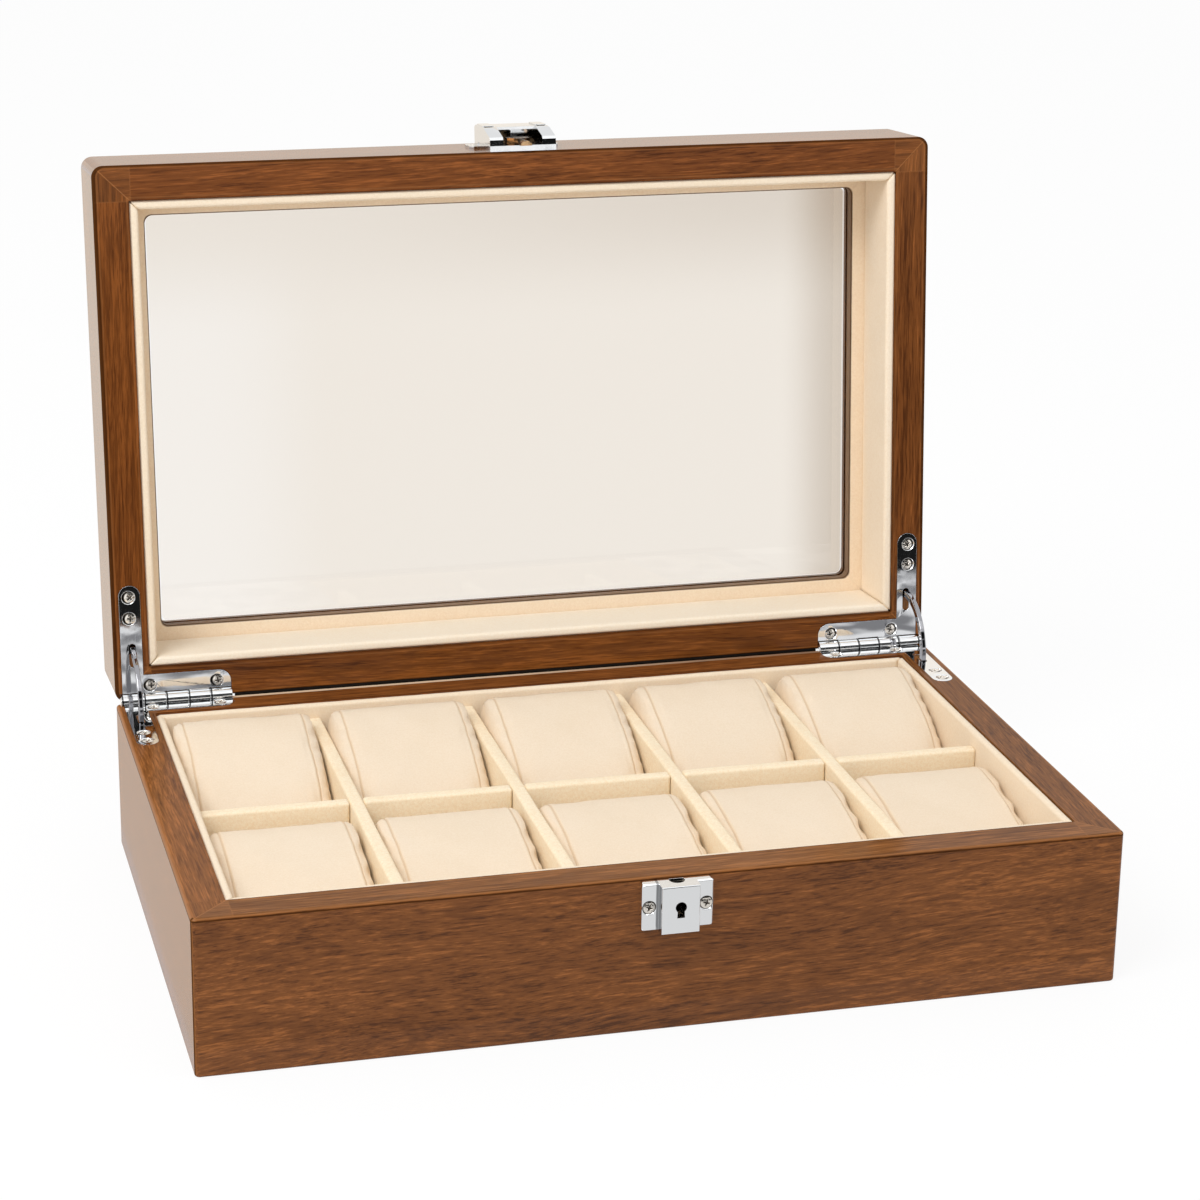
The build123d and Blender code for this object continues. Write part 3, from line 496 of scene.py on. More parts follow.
def make_nap_group():
    """Short pile: soft clouds where it was brushed, and a fine grain of fibre ends."""
    tree, entry, leave = new_group(
        "pile",
        (("Vector", VECTOR, None), ("Light", COLOUR, None), ("Dark", COLOUR, None),
         ("Grain", FLOAT, 1.0), ("Clouds", FLOAT, 0.4)),
        (("Color", COLOUR), ("Roughness", FLOAT), ("Height", FLOAT)))
    sized = add(tree, "ShaderNodeVectorMath", {0: entry.outputs["Vector"]}, operation="SCALE")
    feed(tree, sized, Scale=entry.outputs["Grain"])
    fine = noise(tree, sized.outputs[0], (FINE_PILE,) * 3, 2.0, 0.6)
    coarse = noise(tree, sized.outputs[0], (COARSE_PILE,) * 3, 2.0, 0.6)
    clouds = noise(tree, entry.outputs["Vector"], (BRUSHED,) * 3, 2.0, 0.5)
    grain = calculate(tree, "MULTIPLY_ADD", coarse, 0.5, times(tree, fine, 0.5))
    cloudy = times(tree, minus(tree, clouds, 0.5), entry.outputs["Clouds"])
    share = rescale(tree, calculate(tree, "ADD", grain, cloudy), 0.32, 0.66)
    colour = blend_colours(tree, share, entry.outputs["Dark"], entry.outputs["Light"])
    feed(tree, leave, Color=colour, Roughness=rescale(tree, grain, 0, 1, 0.98, 0.80), Height=grain)
    return tree


nap_group = make_nap_group()


def napped(name, light, dark, grain, clouds, pile_height, sheen, painted_shade=None):
    """A brushed pile, such as suede or felt, blended towards a colour of painted shade where the shade
    attribute is 1.
    """
    material, tree, shader = new_material(
        name, Sheen_Weight=sheen, Sheen_Roughness=0.45, Sheen_Tint=light, Specular_IOR_Level=0.15)
    place = place_on(tree)
    pile = add(tree, "ShaderNodeGroup", {"Vector": place}, node_tree=nap_group)
    for label, value in (("Light", light), ("Dark", dark), ("Grain", grain), ("Clouds", clouds)):
        pile.inputs[label].default_value = value
    colour = pile.outputs["Color"]
    if painted_shade:
        mark = add(tree, "ShaderNodeAttribute", attribute_name="painted_shade").outputs["Fac"]
        colour = blend_colours(tree, mark, colour, painted_shade)
    feed(tree, shader, Base_Color=colour, Roughness=pile.outputs["Roughness"])
    add_bump(tree, shader, pile.outputs["Height"], pile_height)
    return material


def mark_painted_shade(mesh, values):
    """Keep one value of painted shade from 0 to 1 for each vertex, for the materials above."""
    marks = mesh.attributes.new("painted_shade", "FLOAT", "POINT")
    marks.data.foreach_set("value", values.astype(np.float32))


felt = napped("felt_pad", FELT_LIGHT, FELT_DARK, 0.7, 0.3, 0.25 * MM, 0.3)
felt_points, felt_faces = rounded_board(*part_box("base_felt"), FELT_EDGE_R, FLAT_SPACING)
add_piece("felt_pad", felt_points, felt_faces, felt, "base", ["base_felt"])


def pressed_board():
    """Bare fibreboard: fine pressed flecks, lighter and darker, with a dull face."""
    material, tree, shader = new_material("pressed_board", Specular_IOR_Level=0.2)
    place = place_on(tree)
    flecks = noise(tree, place, (FLECKS,) * 3, 3.0, 0.7)
    colour = blend_colours(tree, rescale(tree, flecks, 0.35, 0.65), FLECK_DARK, FLECK_LIGHT)
    feed(tree, shader, Base_Color=colour, Roughness=rescale(tree, flecks, 0.3, 0.7, 0.85, 0.7))
    add_bump(tree, shader, flecks, 0.05 * MM)
    return material


dress("base_bottom_panel", pressed_board())


# A near-black felt cord lies in the joint behind the two rims, on the line that the hinges turn about,
# as a dark stand-in for the shade in that gap. It shows as the black line behind the back rim.
CORD_R = 0.62 * MM
CORD_END = 44.2 * MM
CORD_SIDES = 12
CORD_LIGHT, CORD_DARK = (0.008, 0.005, 0.003, 1), (0.003, 0.002, 0.001, 1)


def round_bar(start, end, y, z, radius, sides):
    """A closed bar along X: place = (x, y + radius * cos(turn), z + radius * sin(turn))."""
    turn = np.linspace(0, 2 * math.pi, sides, endpoint=False)
    ring = np.stack([np.zeros(sides), y + radius * np.cos(turn), z + radius * np.sin(turn)], -1)
    points = np.concatenate([ring + (start, 0, 0), ring + (end, 0, 0)])
    near = np.arange(sides)
    ahead = np.roll(near, -1)
    faces = np.stack([near, ahead, ahead + sides, near + sides], -1).tolist()
    return points, faces + [near[::-1].tolist(), (near + sides).tolist()]


# Near-black felt that stands in for the shade in the joint.
shade_cord_felt = napped("shade_cord_felt", CORD_LIGHT, CORD_DARK, 1.0, 0.2, 0.05 * MM, 0.0)
cord_half = HALF_W - CORD_END
cord_points, cord_faces = round_bar(-cord_half, cord_half, HINGE_Y, HINGE_Z, CORD_R, CORD_SIDES)
add_piece("shade_cord", cord_points, cord_faces, shade_cord_felt, "base")


# Every wall, the floor and the dividers of the base are card and board wrapped in cream suede.
# The wall liners are glued in as four mitred boards, with a soft edge just below the rim.
SUEDE_LIGHT = (0.930, 0.800, 0.630, 1)
SUEDE_DARK = (0.885, 0.735, 0.550, 1)
LINER_EDGE_R = 1.2 * MM
LINER_PADDING = 0.25 * MM
FLOOR_EDGE_R = 0.5 * MM
RIPPLE = 0.06 * MM
FACE_WAVE, SMALL_WAVE, RIM_WAVE = 90 * MM, 23 * MM, 31 * MM
SOFT_SPACING = 2.5 * MM
SUEDE_NAP = (1.0, 0.15, 0.13 * MM, 0.25)    # grain, clouds, pile height and sheen
suede = napped("suede_lining", SUEDE_LIGHT, SUEDE_DARK, *SUEDE_NAP)
WALL_WAYS = (("front", 1, -1), ("back", 1, 1), ("left", 0, -1), ("right", 0, 1))


def ripple(along, longest, seed):
    """Four sine waves of shrinking length and height, added, with seeded phases; about -1 to 1."""
    phases = np.random.default_rng(seed).uniform(0, 2 * math.pi, 4)
    waves = [np.sin(2 * math.pi * along * k / longest + phases[k - 1]) / k for k in range(1, 5)]
    return sum(waves) / 1.6


def mitre_ends(points, low, high, across, side):
    """Shorten a board towards its inner face, in proportion, so that its ends stand at 45 degrees.

    along' = along * (half - depth) / half, where depth is the distance from the outer face.
    """
    length_axis = 1 - across
    outer = high[across] if side > 0 else low[across]
    depth = np.abs(points[:, across] - outer)
    half = (high[length_axis] - low[length_axis]) / 2
    points[:, length_axis] *= (half - depth) / half
    return points


def lining_board(low, high, across, side, edge_r, padding, seed):
    """One suede-wrapped liner: a rounded board, mitred, its inner face padded and slightly rippled.

    The face moves in by padding * (1 - level^4) and a ripple, with level from -1 to 1 up the board,
    times 1 at the inner face falling evenly to 0 at the outer one.
    """
    points, faces = rounded_board(low, high, edge_r, SOFT_SPACING)
    points = mitre_ends(points, low, high, across, side)
    along = points[:, 1 - across]
    inner = low[across] if side > 0 else high[across]
    thickness = high[across] - low[across]
    share = 1 - np.clip(np.abs(points[:, across] - inner) / thickness, 0, 1)
    half_height = (high[2] - low[2]) / 2
    level = (points[:, 2] - low[2]) / half_height - 1
    crown = padding * (1 - level ** 4)
    wave = ripple(along, FACE_WAVE, seed) + 0.5 * ripple(along + points[:, 2], SMALL_WAVE, seed + 1)
    points[:, across] -= side * share * (crown + RIPPLE * wave)
    near_rim = np.clip(level, 0, 1) ** 3
    points[:, 2] += 0.6 * RIPPLE * near_rim * ripple(along, RIM_WAVE, seed + 2)
    return points, faces


for number, (way, across, side) in enumerate(WALL_WAYS):
    node = "base_liner_" + way
    low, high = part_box(node)
    points, faces = lining_board(low, high, across, side, LINER_EDGE_R, LINER_PADDING, 10 * number)
    add_piece("base_lining_" + way, points, faces, suede, "base", [node])

points, faces = rounded_board(*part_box("base_floor_liner"), FLOOR_EDGE_R, FLAT_SPACING)
add_piece("base_floor_lining", points, faces, suede, "base", ["base_floor_liner"])


# Four cross dividers run from front to back and one long divider crosses them, half-lapped like
# an egg crate. The suede is wrapped round each board, so its edges and ends are soft.
DIVIDER_R = 1.1 * MM
DIVIDER_FIT = 0.2 * MM
DIVIDER_LIGHT, DIVIDER_DARK = (0.990, 0.870, 0.665, 1), (0.925, 0.750, 0.520, 1)
HOLLOW_WAVE, BEND_WAVE, TOP_WAVE = 47 * MM, 130 * MM, 60 * MM
divider_suede = napped("suede_divider", DIVIDER_LIGHT, DIVIDER_DARK, 0.9, 0.15, 0.22 * MM, 0.25)
cross_boxes = [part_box(f"cross_divider_{number}") for number in range(1, 5)]
long_low, long_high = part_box("long_divider")


def divider(low, high, across, seed):
    """A wrapped board with soft edges. Its faces, its line and its top each move by a ripple."""
    points, faces = rounded_board(low, high, DIVIDER_R, SOFT_SPACING)
    middle = (low[across] + high[across]) / 2
    thickness = high[across] - low[across]
    face = (points[:, across] - middle) / (thickness / 2)
    along = points[:, 1 - across]
    points[:, across] += face * 0.7 * RIPPLE * ripple(along + 0.4 * points[:, 2], HOLLOW_WAVE, seed)
    points[:, across] += 0.8 * RIPPLE * ripple(along, BEND_WAVE, seed + 1)
    level = np.clip((points[:, 2] - low[2]) / (high[2] - low[2]), 0, 1)
    points[:, 2] += level * RIPPLE * ripple(along, TOP_WAVE, seed + 2)
    return points, faces


for number, (low, high) in enumerate(cross_boxes):
    points, faces = divider(low, high, 0, 100 + 10 * number)
    add_piece(f"suede_cross_divider_{number + 1}", points, faces, divider_suede, "base",
              [f"cross_divider_{number + 1}"])

starts = [long_low.x] + [high.x + DIVIDER_FIT for low, high in cross_boxes]
ends = [low.x - DIVIDER_FIT for low, high in cross_boxes] + [long_high.x]
segments, segment_faces, count = [], [], 0
for number, (start, end) in enumerate(zip(starts, ends)):
    low, high = (start, long_low.y, long_low.z), (end, long_high.y, long_high.z)
    points, faces = divider(low, high, 1, 200 + 10 * number)
    segments.append(points)
    segment_faces.append(faces + count)
    count += len(points)
add_piece("suede_long_divider", np.concatenate(segments), np.concatenate(segment_faces), divider_suede,
          "base", ["long_divider"])


# Each compartment holds a stuffed pillow that a watch is strapped round. A back pillow stands
# higher and slopes to the front, a front one is lower and flatter. Each is a suede roll sewn to
# an end panel, with the seam a few millimetres in from its end.
PILLOW_COLUMNS, PILLOW_ROUND, PILLOW_CAP_ROWS = 96, 150, 9
SIM_COLUMNS, SIM_ROUND, SIM_CAP_ROWS = 24, 60, 5
SEAM_IN = 3.3 * MM
SEAM_WANDER = 0.18 * MM
SEAM_W = 0.34 * MM
SEAM_DEPTH = 0.50 * MM
SEAM_RIDGE = 0.10 * MM
PUCKERS, PUCKER_DEPTH = 46, 0.05 * MM
PUCKER_IN, PUCKER_REACH = 1.6 * MM, 1.3 * MM
DENT_DEPTH = 0.16 * MM
DENT_WAVES = (61 * MM, 43 * MM)
DENTS_FROM = 10 * MM
SEAM_SHADE_SHARE = 0.60
FIRM_END, FIRM_FADE = 0.3 * MM, 1.0 * MM
PILLOW_SPARE = 0.6 * MM
END_R = 1.7 * MM
END_DOME = 0.5 * MM
END_PUFF = 0.35 * MM
SIM_VOXEL = 2.6 * MM
SIM_FRAMES = 16
SIM_PRESSURE = 2.0
SIM_CAP = 1.0 * MM
SIM_STIFFNESS = 25
PILLOW_LEAN = 0.1 * MM
PILLOW_HALF_D, PILLOW_LOW_R = 38.8, 11.0
# In mm on the pillow's end: the top's back and front corner, as y, z and radius, and its bow
PILLOW_TOPS = {
    "back": ((38.8, 50.6, 11.0), (-37.6, 21.0, 10.0), 6.0),
    "front": ((38.8, 40.8, 13.0), (-38.0, 25.0, 10.0), 4.7),
}
PILLOW_LIGHT, PILLOW_DARK = (0.885, 0.755, 0.600, 1), (0.840, 0.695, 0.525, 1)
# Painted shade for the seams' grooves.
SEAM_SHADE = (0.60, 0.40, 0.22, 1)
pillow_suede = napped("suede_pillow", PILLOW_LIGHT, PILLOW_DARK, 1.5, 0.20, 0.07 * MM, 0.3, SEAM_SHADE)


def rounded_outline(corners, radii, bow, count):
    """Points evenly round a closed outline whose corners are arcs; its top edge is bowed upwards.

    Each corner's arc starts and ends radius / tan(half of the corner's angle) from the corner, and
    the bow is height * (1 - t * t) for t from -1 to 1 along the top edge.
    """
    corners, radii = np.array(corners, float), np.array(radii, float)
    before = np.roll(corners, 1, axis=0) - corners
    after = np.roll(corners, -1, axis=0) - corners
    before /= np.linalg.norm(before, axis=1, keepdims=True)
    after /= np.linalg.norm(after, axis=1, keepdims=True)
    half = np.arccos(np.clip((before * after).sum(1), -1, 1)) / 2
    bisector = before + after
    bisector /= np.linalg.norm(bisector, axis=1, keepdims=True)
    centres = corners + bisector * (radii / np.sin(half))[:, None]
    first = corners + before * (radii / np.tan(half))[:, None]
    turn = np.linspace(0, 1, 25)[None, :] * (math.pi - 2 * half)[:, None]
    arm = first - centres
    cos, sin = np.cos(turn), np.sin(turn)
    arcs = np.stack([centres[:, 0, None] + cos * arm[:, 0, None] - sin * arm[:, 1, None],
                     centres[:, 1, None] + sin * arm[:, 0, None] + cos * arm[:, 1, None]], -1)
    loop = np.concatenate([arcs.reshape(-1, 2), arcs[0, :1]])
    lengths = np.concatenate([[0], np.cumsum(np.linalg.norm(np.diff(loop, axis=0), axis=1))])
    even = np.linspace(0, lengths[-1], count, endpoint=False)
    outline = np.stack([np.interp(even, lengths, loop[:, 0]), np.interp(even, lengths, loop[:, 1])], -1)
    t = outline[:, 0] / np.abs(corners[:, 0]).max()
    on_top = np.clip((outline[:, 1] - corners[:, 1].max() * 0.35) / (corners[:, 1].max() * 0.3), 0, 1)
    outline[:, 1] += bow * (1 - t * t) * on_top
    return outline


def ring_faces(rows, count):
    """Quads between closed rings of points, laid out ring after ring, and a cap on both end rings."""
    grid = np.arange(rows * count).reshape(rows, count)
    ahead = np.roll(grid, -1, axis=1)
    quads = np.stack([grid[:-1], grid[1:], ahead[1:], ahead[:-1]], -1).reshape(-1, 4).tolist()
    return quads + [grid[0].tolist(), grid[-1][::-1].tolist()]


def pillow_form(row, count, stations, insets):
    """A closed roll: the outline is drawn in by a distance at each station along its length.

    place = middle + (outline - middle) * (1 - inset / reach), with reach the outline's mean radius.
    Stations past the ends close it, ring inside ring.
    """
    (back_y, back_z, back_r), (front_y, front_z, front_r), bow = PILLOW_TOPS[row]
    corners = [(-PILLOW_HALF_D, 0), (PILLOW_HALF_D, 0), (back_y, back_z), (front_y, front_z)]
    outline = rounded_outline(corners, (PILLOW_LOW_R, PILLOW_LOW_R, back_r, front_r), bow, count) * MM
    middle = outline.mean(0)
    reach = np.linalg.norm(outline - middle, axis=1).mean()
    shrunk = middle + (outline - middle)[None] * (1 - insets / reach)[:, None, None]
    points = np.empty((len(stations), count, 3))
    points[..., 0] = stations[:, None]
    points[..., 1:] = shrunk
    return points.reshape(-1, 3), ring_faces(len(stations), count), reach


def pillow_stations(half, columns, cap_rows, reach):
    """Stations and insets along a roll: end rings, a quarter-circle edge, then steps between.

    The end rings stand out by dome * (1 - ring^2). The steps follow 1 - (1 - |t|)^1.35, for t from
    -1 to 1, so they are closer together near the seams.
    """
    ring = np.linspace(0.04, 1, cap_rows)
    cap_inset = reach - (reach - END_R) * ring
    cap_x = half + END_DOME * (1 - ring ** 2)
    turn = np.linspace(0, math.pi / 2, 7)[1:]
    edge_inset = END_R * (1 - np.sin(turn))
    edge_x = half - END_R * (1 - np.cos(turn))
    body = np.linspace(-1, 1, columns)
    body_x = (half - END_R) * np.sign(body) * (1 - (1 - np.abs(body)) ** 1.35)
    stations = np.concatenate([-cap_x, -edge_x, body_x[1:-1], edge_x[::-1], cap_x[::-1]])
    one_end = np.concatenate([cap_inset, edge_inset])
    return stations, np.concatenate([one_end, np.zeros(columns - 2), one_end[::-1]])


def keep_result(piece):
    """Apply a piece's modifiers to its own mesh."""
    graph = bpy.context.evaluated_depsgraph_get()
    made = bpy.data.meshes.new_from_object(piece.evaluated_get(graph))
    piece.modifiers.clear()
    piece.data = made


def places_of(mesh):
    """All vertices of a mesh as an array."""
    flat = np.empty(len(mesh.vertices) * 3)
    mesh.vertices.foreach_get("co", flat)
    return flat.reshape(-1, 3)


def stuffed(row, half):
    """Puff a plain roll with Cloth under pressure, held to a small cap, and return its mesh object."""
    reach = pillow_form(row, SIM_ROUND, np.zeros(1), np.zeros(1))[2]
    stations, insets = pillow_stations(half, SIM_COLUMNS, SIM_CAP_ROWS, reach)
    points, quads, reach = pillow_form(row, SIM_ROUND, stations, insets)
    mesh = bpy.data.meshes.new("stuffing_" + row)
    mesh.from_pydata(points.tolist(), [], quads)
    roll = bring_in("stuffing_" + row, mesh)
    remesh = roll.modifiers.new("remesh", "REMESH")
    remesh.mode, remesh.voxel_size = "VOXEL", SIM_VOXEL
    keep_result(roll)
    flat = places_of(roll.data)
    cloth = roll.modifiers.new("cloth", "CLOTH")
    cloth.settings.use_pressure = True
    cloth.settings.uniform_pressure_force = SIM_PRESSURE
    cloth.settings.effector_weights.gravity = 0
    cloth.settings.quality = 4
    cloth.settings.tension_stiffness = cloth.settings.compression_stiffness = SIM_STIFFNESS
    cloth.point_cache.frame_start, cloth.point_cache.frame_end = 1, SIM_FRAMES
    for step in range(1, SIM_FRAMES + 1):
        bpy.context.scene.frame_set(step)
    keep_result(roll)
    moved = places_of(roll.data) - flat
    length = np.linalg.norm(moved, axis=1, keepdims=True)
    capped = flat + moved * np.minimum(1, SIM_CAP / np.maximum(length, 1e-9))
    roll.data.vertices.foreach_set("co", capped.ravel())
    bpy.context.scene.frame_set(1)
    return roll


def pillow(name, node, row, roll, seed):
    """Lay a fine skin on the stuffed roll, press in the seams, and add soft dents and puckers.

    With s the distance past the seam and w its width, the skin moves out by -depth * exp(-(s / w)^2)
    for the stitches, ridge * exp(-((s - 3w) / 2w)^2) beside them, and sine waves round the roll.
    """
    low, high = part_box(node)
    half = (high.x - low.x) / 2 + END_PUFF - END_DOME
    reach = pillow_form(row, PILLOW_ROUND, np.zeros(1), np.zeros(1))[2]
    stations, insets = pillow_stations(half, PILLOW_COLUMNS, PILLOW_CAP_ROWS, reach)
    points, quads, reach = pillow_form(row, PILLOW_ROUND, stations, insets)
    middle = points.reshape(-1, PILLOW_ROUND, 3)[:, :, 1:].mean((0, 1))
    piece = add_piece(name, points, quads, pillow_suede, node, [node])
    wrap = piece.modifiers.new("wrap", "SHRINKWRAP")
    wrap.target, wrap.wrap_method = roll, "TARGET_PROJECT"
    keep_result(piece)
    skin = places_of(piece.data)
    out = skin[:, 1:] - middle
    out /= np.maximum(np.linalg.norm(out, axis=1, keepdims=True), 1e-9)
    around = np.arctan2(out[:, 1], out[:, 0])
    from_end = half - np.abs(points[:, 0])
    seam_place = from_end - SEAM_IN - SEAM_WANDER * ripple(around, 2.1, seed)
    groove = -SEAM_DEPTH * np.exp(-(seam_place / SEAM_W) ** 2)
    ridge = SEAM_RIDGE * np.exp(-((seam_place - 3 * SEAM_W) / (2 * SEAM_W)) ** 2)
    near_seam = np.exp(-((seam_place - PUCKER_IN) / PUCKER_REACH) ** 2)
    pucker = PUCKER_DEPTH * np.sin(around * PUCKERS + seed) * near_seam
    inside = np.clip((from_end - SEAM_IN) / DENTS_FROM, 0, 1)
    dents = inside * DENT_DEPTH * (ripple(points[:, 0] + skin[:, 1], DENT_WAVES[0], seed + 3)
                                   + ripple(points[:, 0] - 0.6 * skin[:, 1], DENT_WAVES[1], seed + 4))
    on_body = np.clip((from_end - FIRM_END) / FIRM_FADE, 0, 1)
    skin[:, 1:] += out * ((groove + ridge + pucker + dents) * on_body)[:, None]
    centre = ((low.x + high.x) / 2, (low.y + high.y) / 2)
    span = skin[:, 1].max() - skin[:, 1].min()
    skin[:, 1] -= (skin[:, 1].max() + skin[:, 1].min()) / 2
    skin[:, 1] *= min(1, (high.y - low.y + PILLOW_SPARE) / span)
    skin[:, 0] *= min(1, ((high.x - low.x) / 2 + END_PUFF) / np.abs(skin[:, 0]).max())
    skin[:, 0] += centre[0] - PILLOW_LEAN
    skin[:, 1] += centre[1]
    skin[:, 2] += low.z - skin[:, 2].min()
    piece.data.vertices.foreach_set("co", skin.ravel())
    # Painted shade in the seam grooves.
    mark_painted_shade(piece.data, SEAM_SHADE_SHARE * np.exp(-(seam_place / (1.1 * SEAM_W)) ** 2) * on_body)
    piece.data.shade_smooth()


for row in ("back", "front"):
    low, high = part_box(f"pillow_{row}_1")
    roll = stuffed(row, (high.x - low.x) / 2 + END_PUFF - END_DOME)
    for column in range(1, 6):
        node = f"pillow_{row}_{column}"
        pillow(f"stuffed_{node}", node, row, roll, column + (0 if row == "back" else 20))
    bpy.data.objects.remove(roll)


# Two quadrant hinges of plated steel. Each has two L-shaped leaves let in flush with the rims,
# knuckles on a steel pin, and a curved stay that slides through a slot in both leaves.
CHROME = (0.88, 0.89, 0.90, 1)
# Painted shade for the corner of the lock's casting.
PAINTED_CORNER_SHADE = (0.05, 0.05, 0.055, 1)
SMUDGES, POLISH_WAVES = 160, 210    # features per metre
BARREL_START = 1.8 * MM
KNUCKLE_L = 8.34 * MM
KNUCKLE_JOINT_W = 0.40 * MM
BARREL_REACH = (3.1 * MM, 3.3 * MM)
CORNER_SHADE_W, CORNER_SHADE_SHARE = 0.60 * MM, 0.62
LEAF_EDGE, STAY_EDGE = 0.22 * MM, 0.45 * MM
SHARP_ANGLE, SHADE_ANGLE, FLAT_ANGLE = (math.radians(angle) for angle in (28, 40, 0.5))
SAME_PLACE = 0.002 * MM


def make_plating_group():
    """Plated metal as it is handled: faint smudges that dull it and shallow waves from polishing."""
    tree, entry, leave = new_group(
        "plating", (("Vector", VECTOR, None), ("Clean", FLOAT, 0.05),
                    ("Smudged", FLOAT, 0.14)),
        (("Roughness", FLOAT), ("Height", FLOAT)))
    smudges = noise(tree, entry.outputs["Vector"], (SMUDGES,) * 3, 3.0, 0.6)
    inputs = {"Value": smudges, "From Min": 0.45, "From Max": 0.75, "To Min": entry.outputs["Clean"],
              "To Max": entry.outputs["Smudged"]}
    dulled = add(tree, "ShaderNodeMapRange", inputs)
    waves = noise(tree, entry.outputs["Vector"], (POLISH_WAVES,) * 3, 1.0)
    feed(tree, leave, Roughness=dulled.outputs["Result"], Height=waves)
    return tree


plating_group = make_plating_group()


def plated(name, colour, clean, smudged, wave, knuckled=False, corner=None):
    """Plated metal, with dark joints between a hinge's knuckles, or a band of painted shade and
    reflection in the corner at an X.
    """
    material, tree, shader = new_material(name, Metallic=1.0, Base_Color=colour)
    place = place_on(tree)
    if knuckled:
        parts = add(tree, "ShaderNodeSeparateXYZ", {0: place})
        along = calculate(tree, "ABSOLUTE", parts.outputs["X"])
        along = minus(tree, HALF_W - BARREL_START, along)
        joint = line_mask(tree, calculate(tree, "PINGPONG", along, KNUCKLE_L / 2), 0, KNUCKLE_JOINT_W)
        away = slant_of(tree, *(minus(tree, parts.outputs[way], middle)
                                for way, middle in (("Y", HINGE_Y), ("Z", HINGE_Z))))
        joint = times(tree, joint, rescale(tree, away, *BARREL_REACH, 0.93, 0.0))
        feed(tree, shader, Base_Color=blend_colours(tree, joint, colour, (0, 0, 0, 1)))
    if corner:
        x = part_of(tree, place, "X")
        # A band of painted shade and reflection.
        corner_shade = times(tree, line_mask(tree, x, corner, CORNER_SHADE_W), CORNER_SHADE_SHARE)
        feed(tree, shader, Base_Color=blend_colours(tree, corner_shade, colour, PAINTED_CORNER_SHADE))
    finish = add(tree, "ShaderNodeGroup", {"Vector": place, "Clean": clean, "Smudged": smudged},
                 node_tree=plating_group)
    feed(tree, shader, Roughness=finish.outputs["Roughness"])
    add_bump(tree, shader, finish.outputs["Height"], wave)
    return material


chrome = plated("polished_chrome", CHROME, 0.05, 0.12, 0.015 * MM)
hinge_chrome = plated("hinge_chrome", CHROME, 0.04, 0.10, 0.015 * MM, True)
stay_chrome = plated("stay_chrome", (0.36, 0.36, 0.38, 1), 0.05, 0.12, 0.01 * MM)


def eased(node, name, material, width, reshape=None):
    """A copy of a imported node, its triangles joined into whole faces and its sharp edges rounded."""
    made = bmesh.new()
    made.from_mesh(frame["nodes"][node].data)
    bmesh.ops.remove_doubles(made, verts=made.verts, dist=SAME_PLACE)
    bmesh.ops.dissolve_limit(made, angle_limit=FLAT_ANGLE, verts=made.verts, edges=made.edges)
    sharp = [edge for edge in made.edges
             if len(edge.link_faces) == 2 and edge.calc_face_angle() > SHARP_ANGLE]
    bmesh.ops.bevel(made, geom=sharp, offset=width, segments=3, profile=0.6, affect="EDGES",
                    clamp_overlap=True)
    bmesh.ops.triangulate(made, faces=[face for face in made.faces if len(face.verts) > 4])
    mesh = bpy.data.meshes.new(name)
    made.to_mesh(mesh)
    made.free()
    mesh.shade_smooth()
    mesh.set_sharp_from_angle(angle=SHADE_ANGLE)
    if reshape:
        reshape(mesh)
    mesh.materials.append(material)
    piece = bring_in(name, mesh)
    weighted = piece.modifiers.new("weighted", "WEIGHTED_NORMAL")
    weighted.keep_sharp, weighted.weight = True, 90
    keep_result(piece)
    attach(piece, frame["nodes"][node]["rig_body"])
    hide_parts(node)


for side in ("left", "right"):
    eased(f"hinge_base_leaf_{side}", f"base_leaf_{side}", hinge_chrome, LEAF_EDGE)
    eased(f"hinge_lid_leaf_{side}", f"lid_leaf_{side}", hinge_chrome, LEAF_EDGE)
    eased(f"stay_arm_{side}", f"curved_stay_{side}", stay_chrome, STAY_EDGE)
    dress(f"hinge_pin_{side}", chrome)


# Countersunk screws with raised heads and a cross recess hold the leaves, the lock and the
# catch. Each head stands in its countersink; painted shade with some grime darkens its cross and a ring
# round it.
HEAD_R = 2.15 * MM
HEAD_RISE = 0.42 * MM
RING_R = 2.46 * MM
HEAD_EDGE = 0.10 * MM
RECESS_REACH = 1.25 * MM
RECESS_HALF_W = 0.30 * MM
RECESS_DEPTH = 1.00 * MM
RECESS_SOFT = 0.12 * MM
SHANK_R = 1.0 * MM
HEAD_SIDES, HEAD_RINGS = 48, 22
SHORT_SCREW, LONG_SCREW = 8 * MM, 11 * MM
# Clean nickel, and the colour of painted shade and grime in the cross and round the head.
SCREW_CLEAN, SCREW_SHADE_AND_GRIME = (0.84, 0.79, 0.72, 1), (0.045, 0.036, 0.028, 1)
# In mm: leaf screws in from the case's side and back, the others from its middle, front and base
LEAF_SCREWS = ((6.3, 31.9), (6.3, 40.0), (13.0, 5.9), (38.1, 5.9))
LOCK_SCREW = (9.8, 3.8, 46.6)
CATCH_SCREW = (14.9, 0.9, 76.6)


def shaded_grimy_nickel():
    """Nickel plating, darker in the cross and round the head: painted shade, with some polish grime
    left there.
    """
    material, tree, shader = new_material("nickel_screws", Metallic=1.0)
    place = place_on(tree)
    finish = add(tree, "ShaderNodeGroup", {"Vector": place, "Clean": 0.12, "Smudged": 0.24},
                 node_tree=plating_group)
    mark = add(tree, "ShaderNodeAttribute", attribute_name="painted_shade").outputs["Fac"]
    colour = blend_colours(tree, mark, SCREW_CLEAN, SCREW_SHADE_AND_GRIME)
    feed(tree, shader, Base_Color=colour, Roughness=finish.outputs["Roughness"])
    return material


screw_nickel = shaded_grimy_nickel()


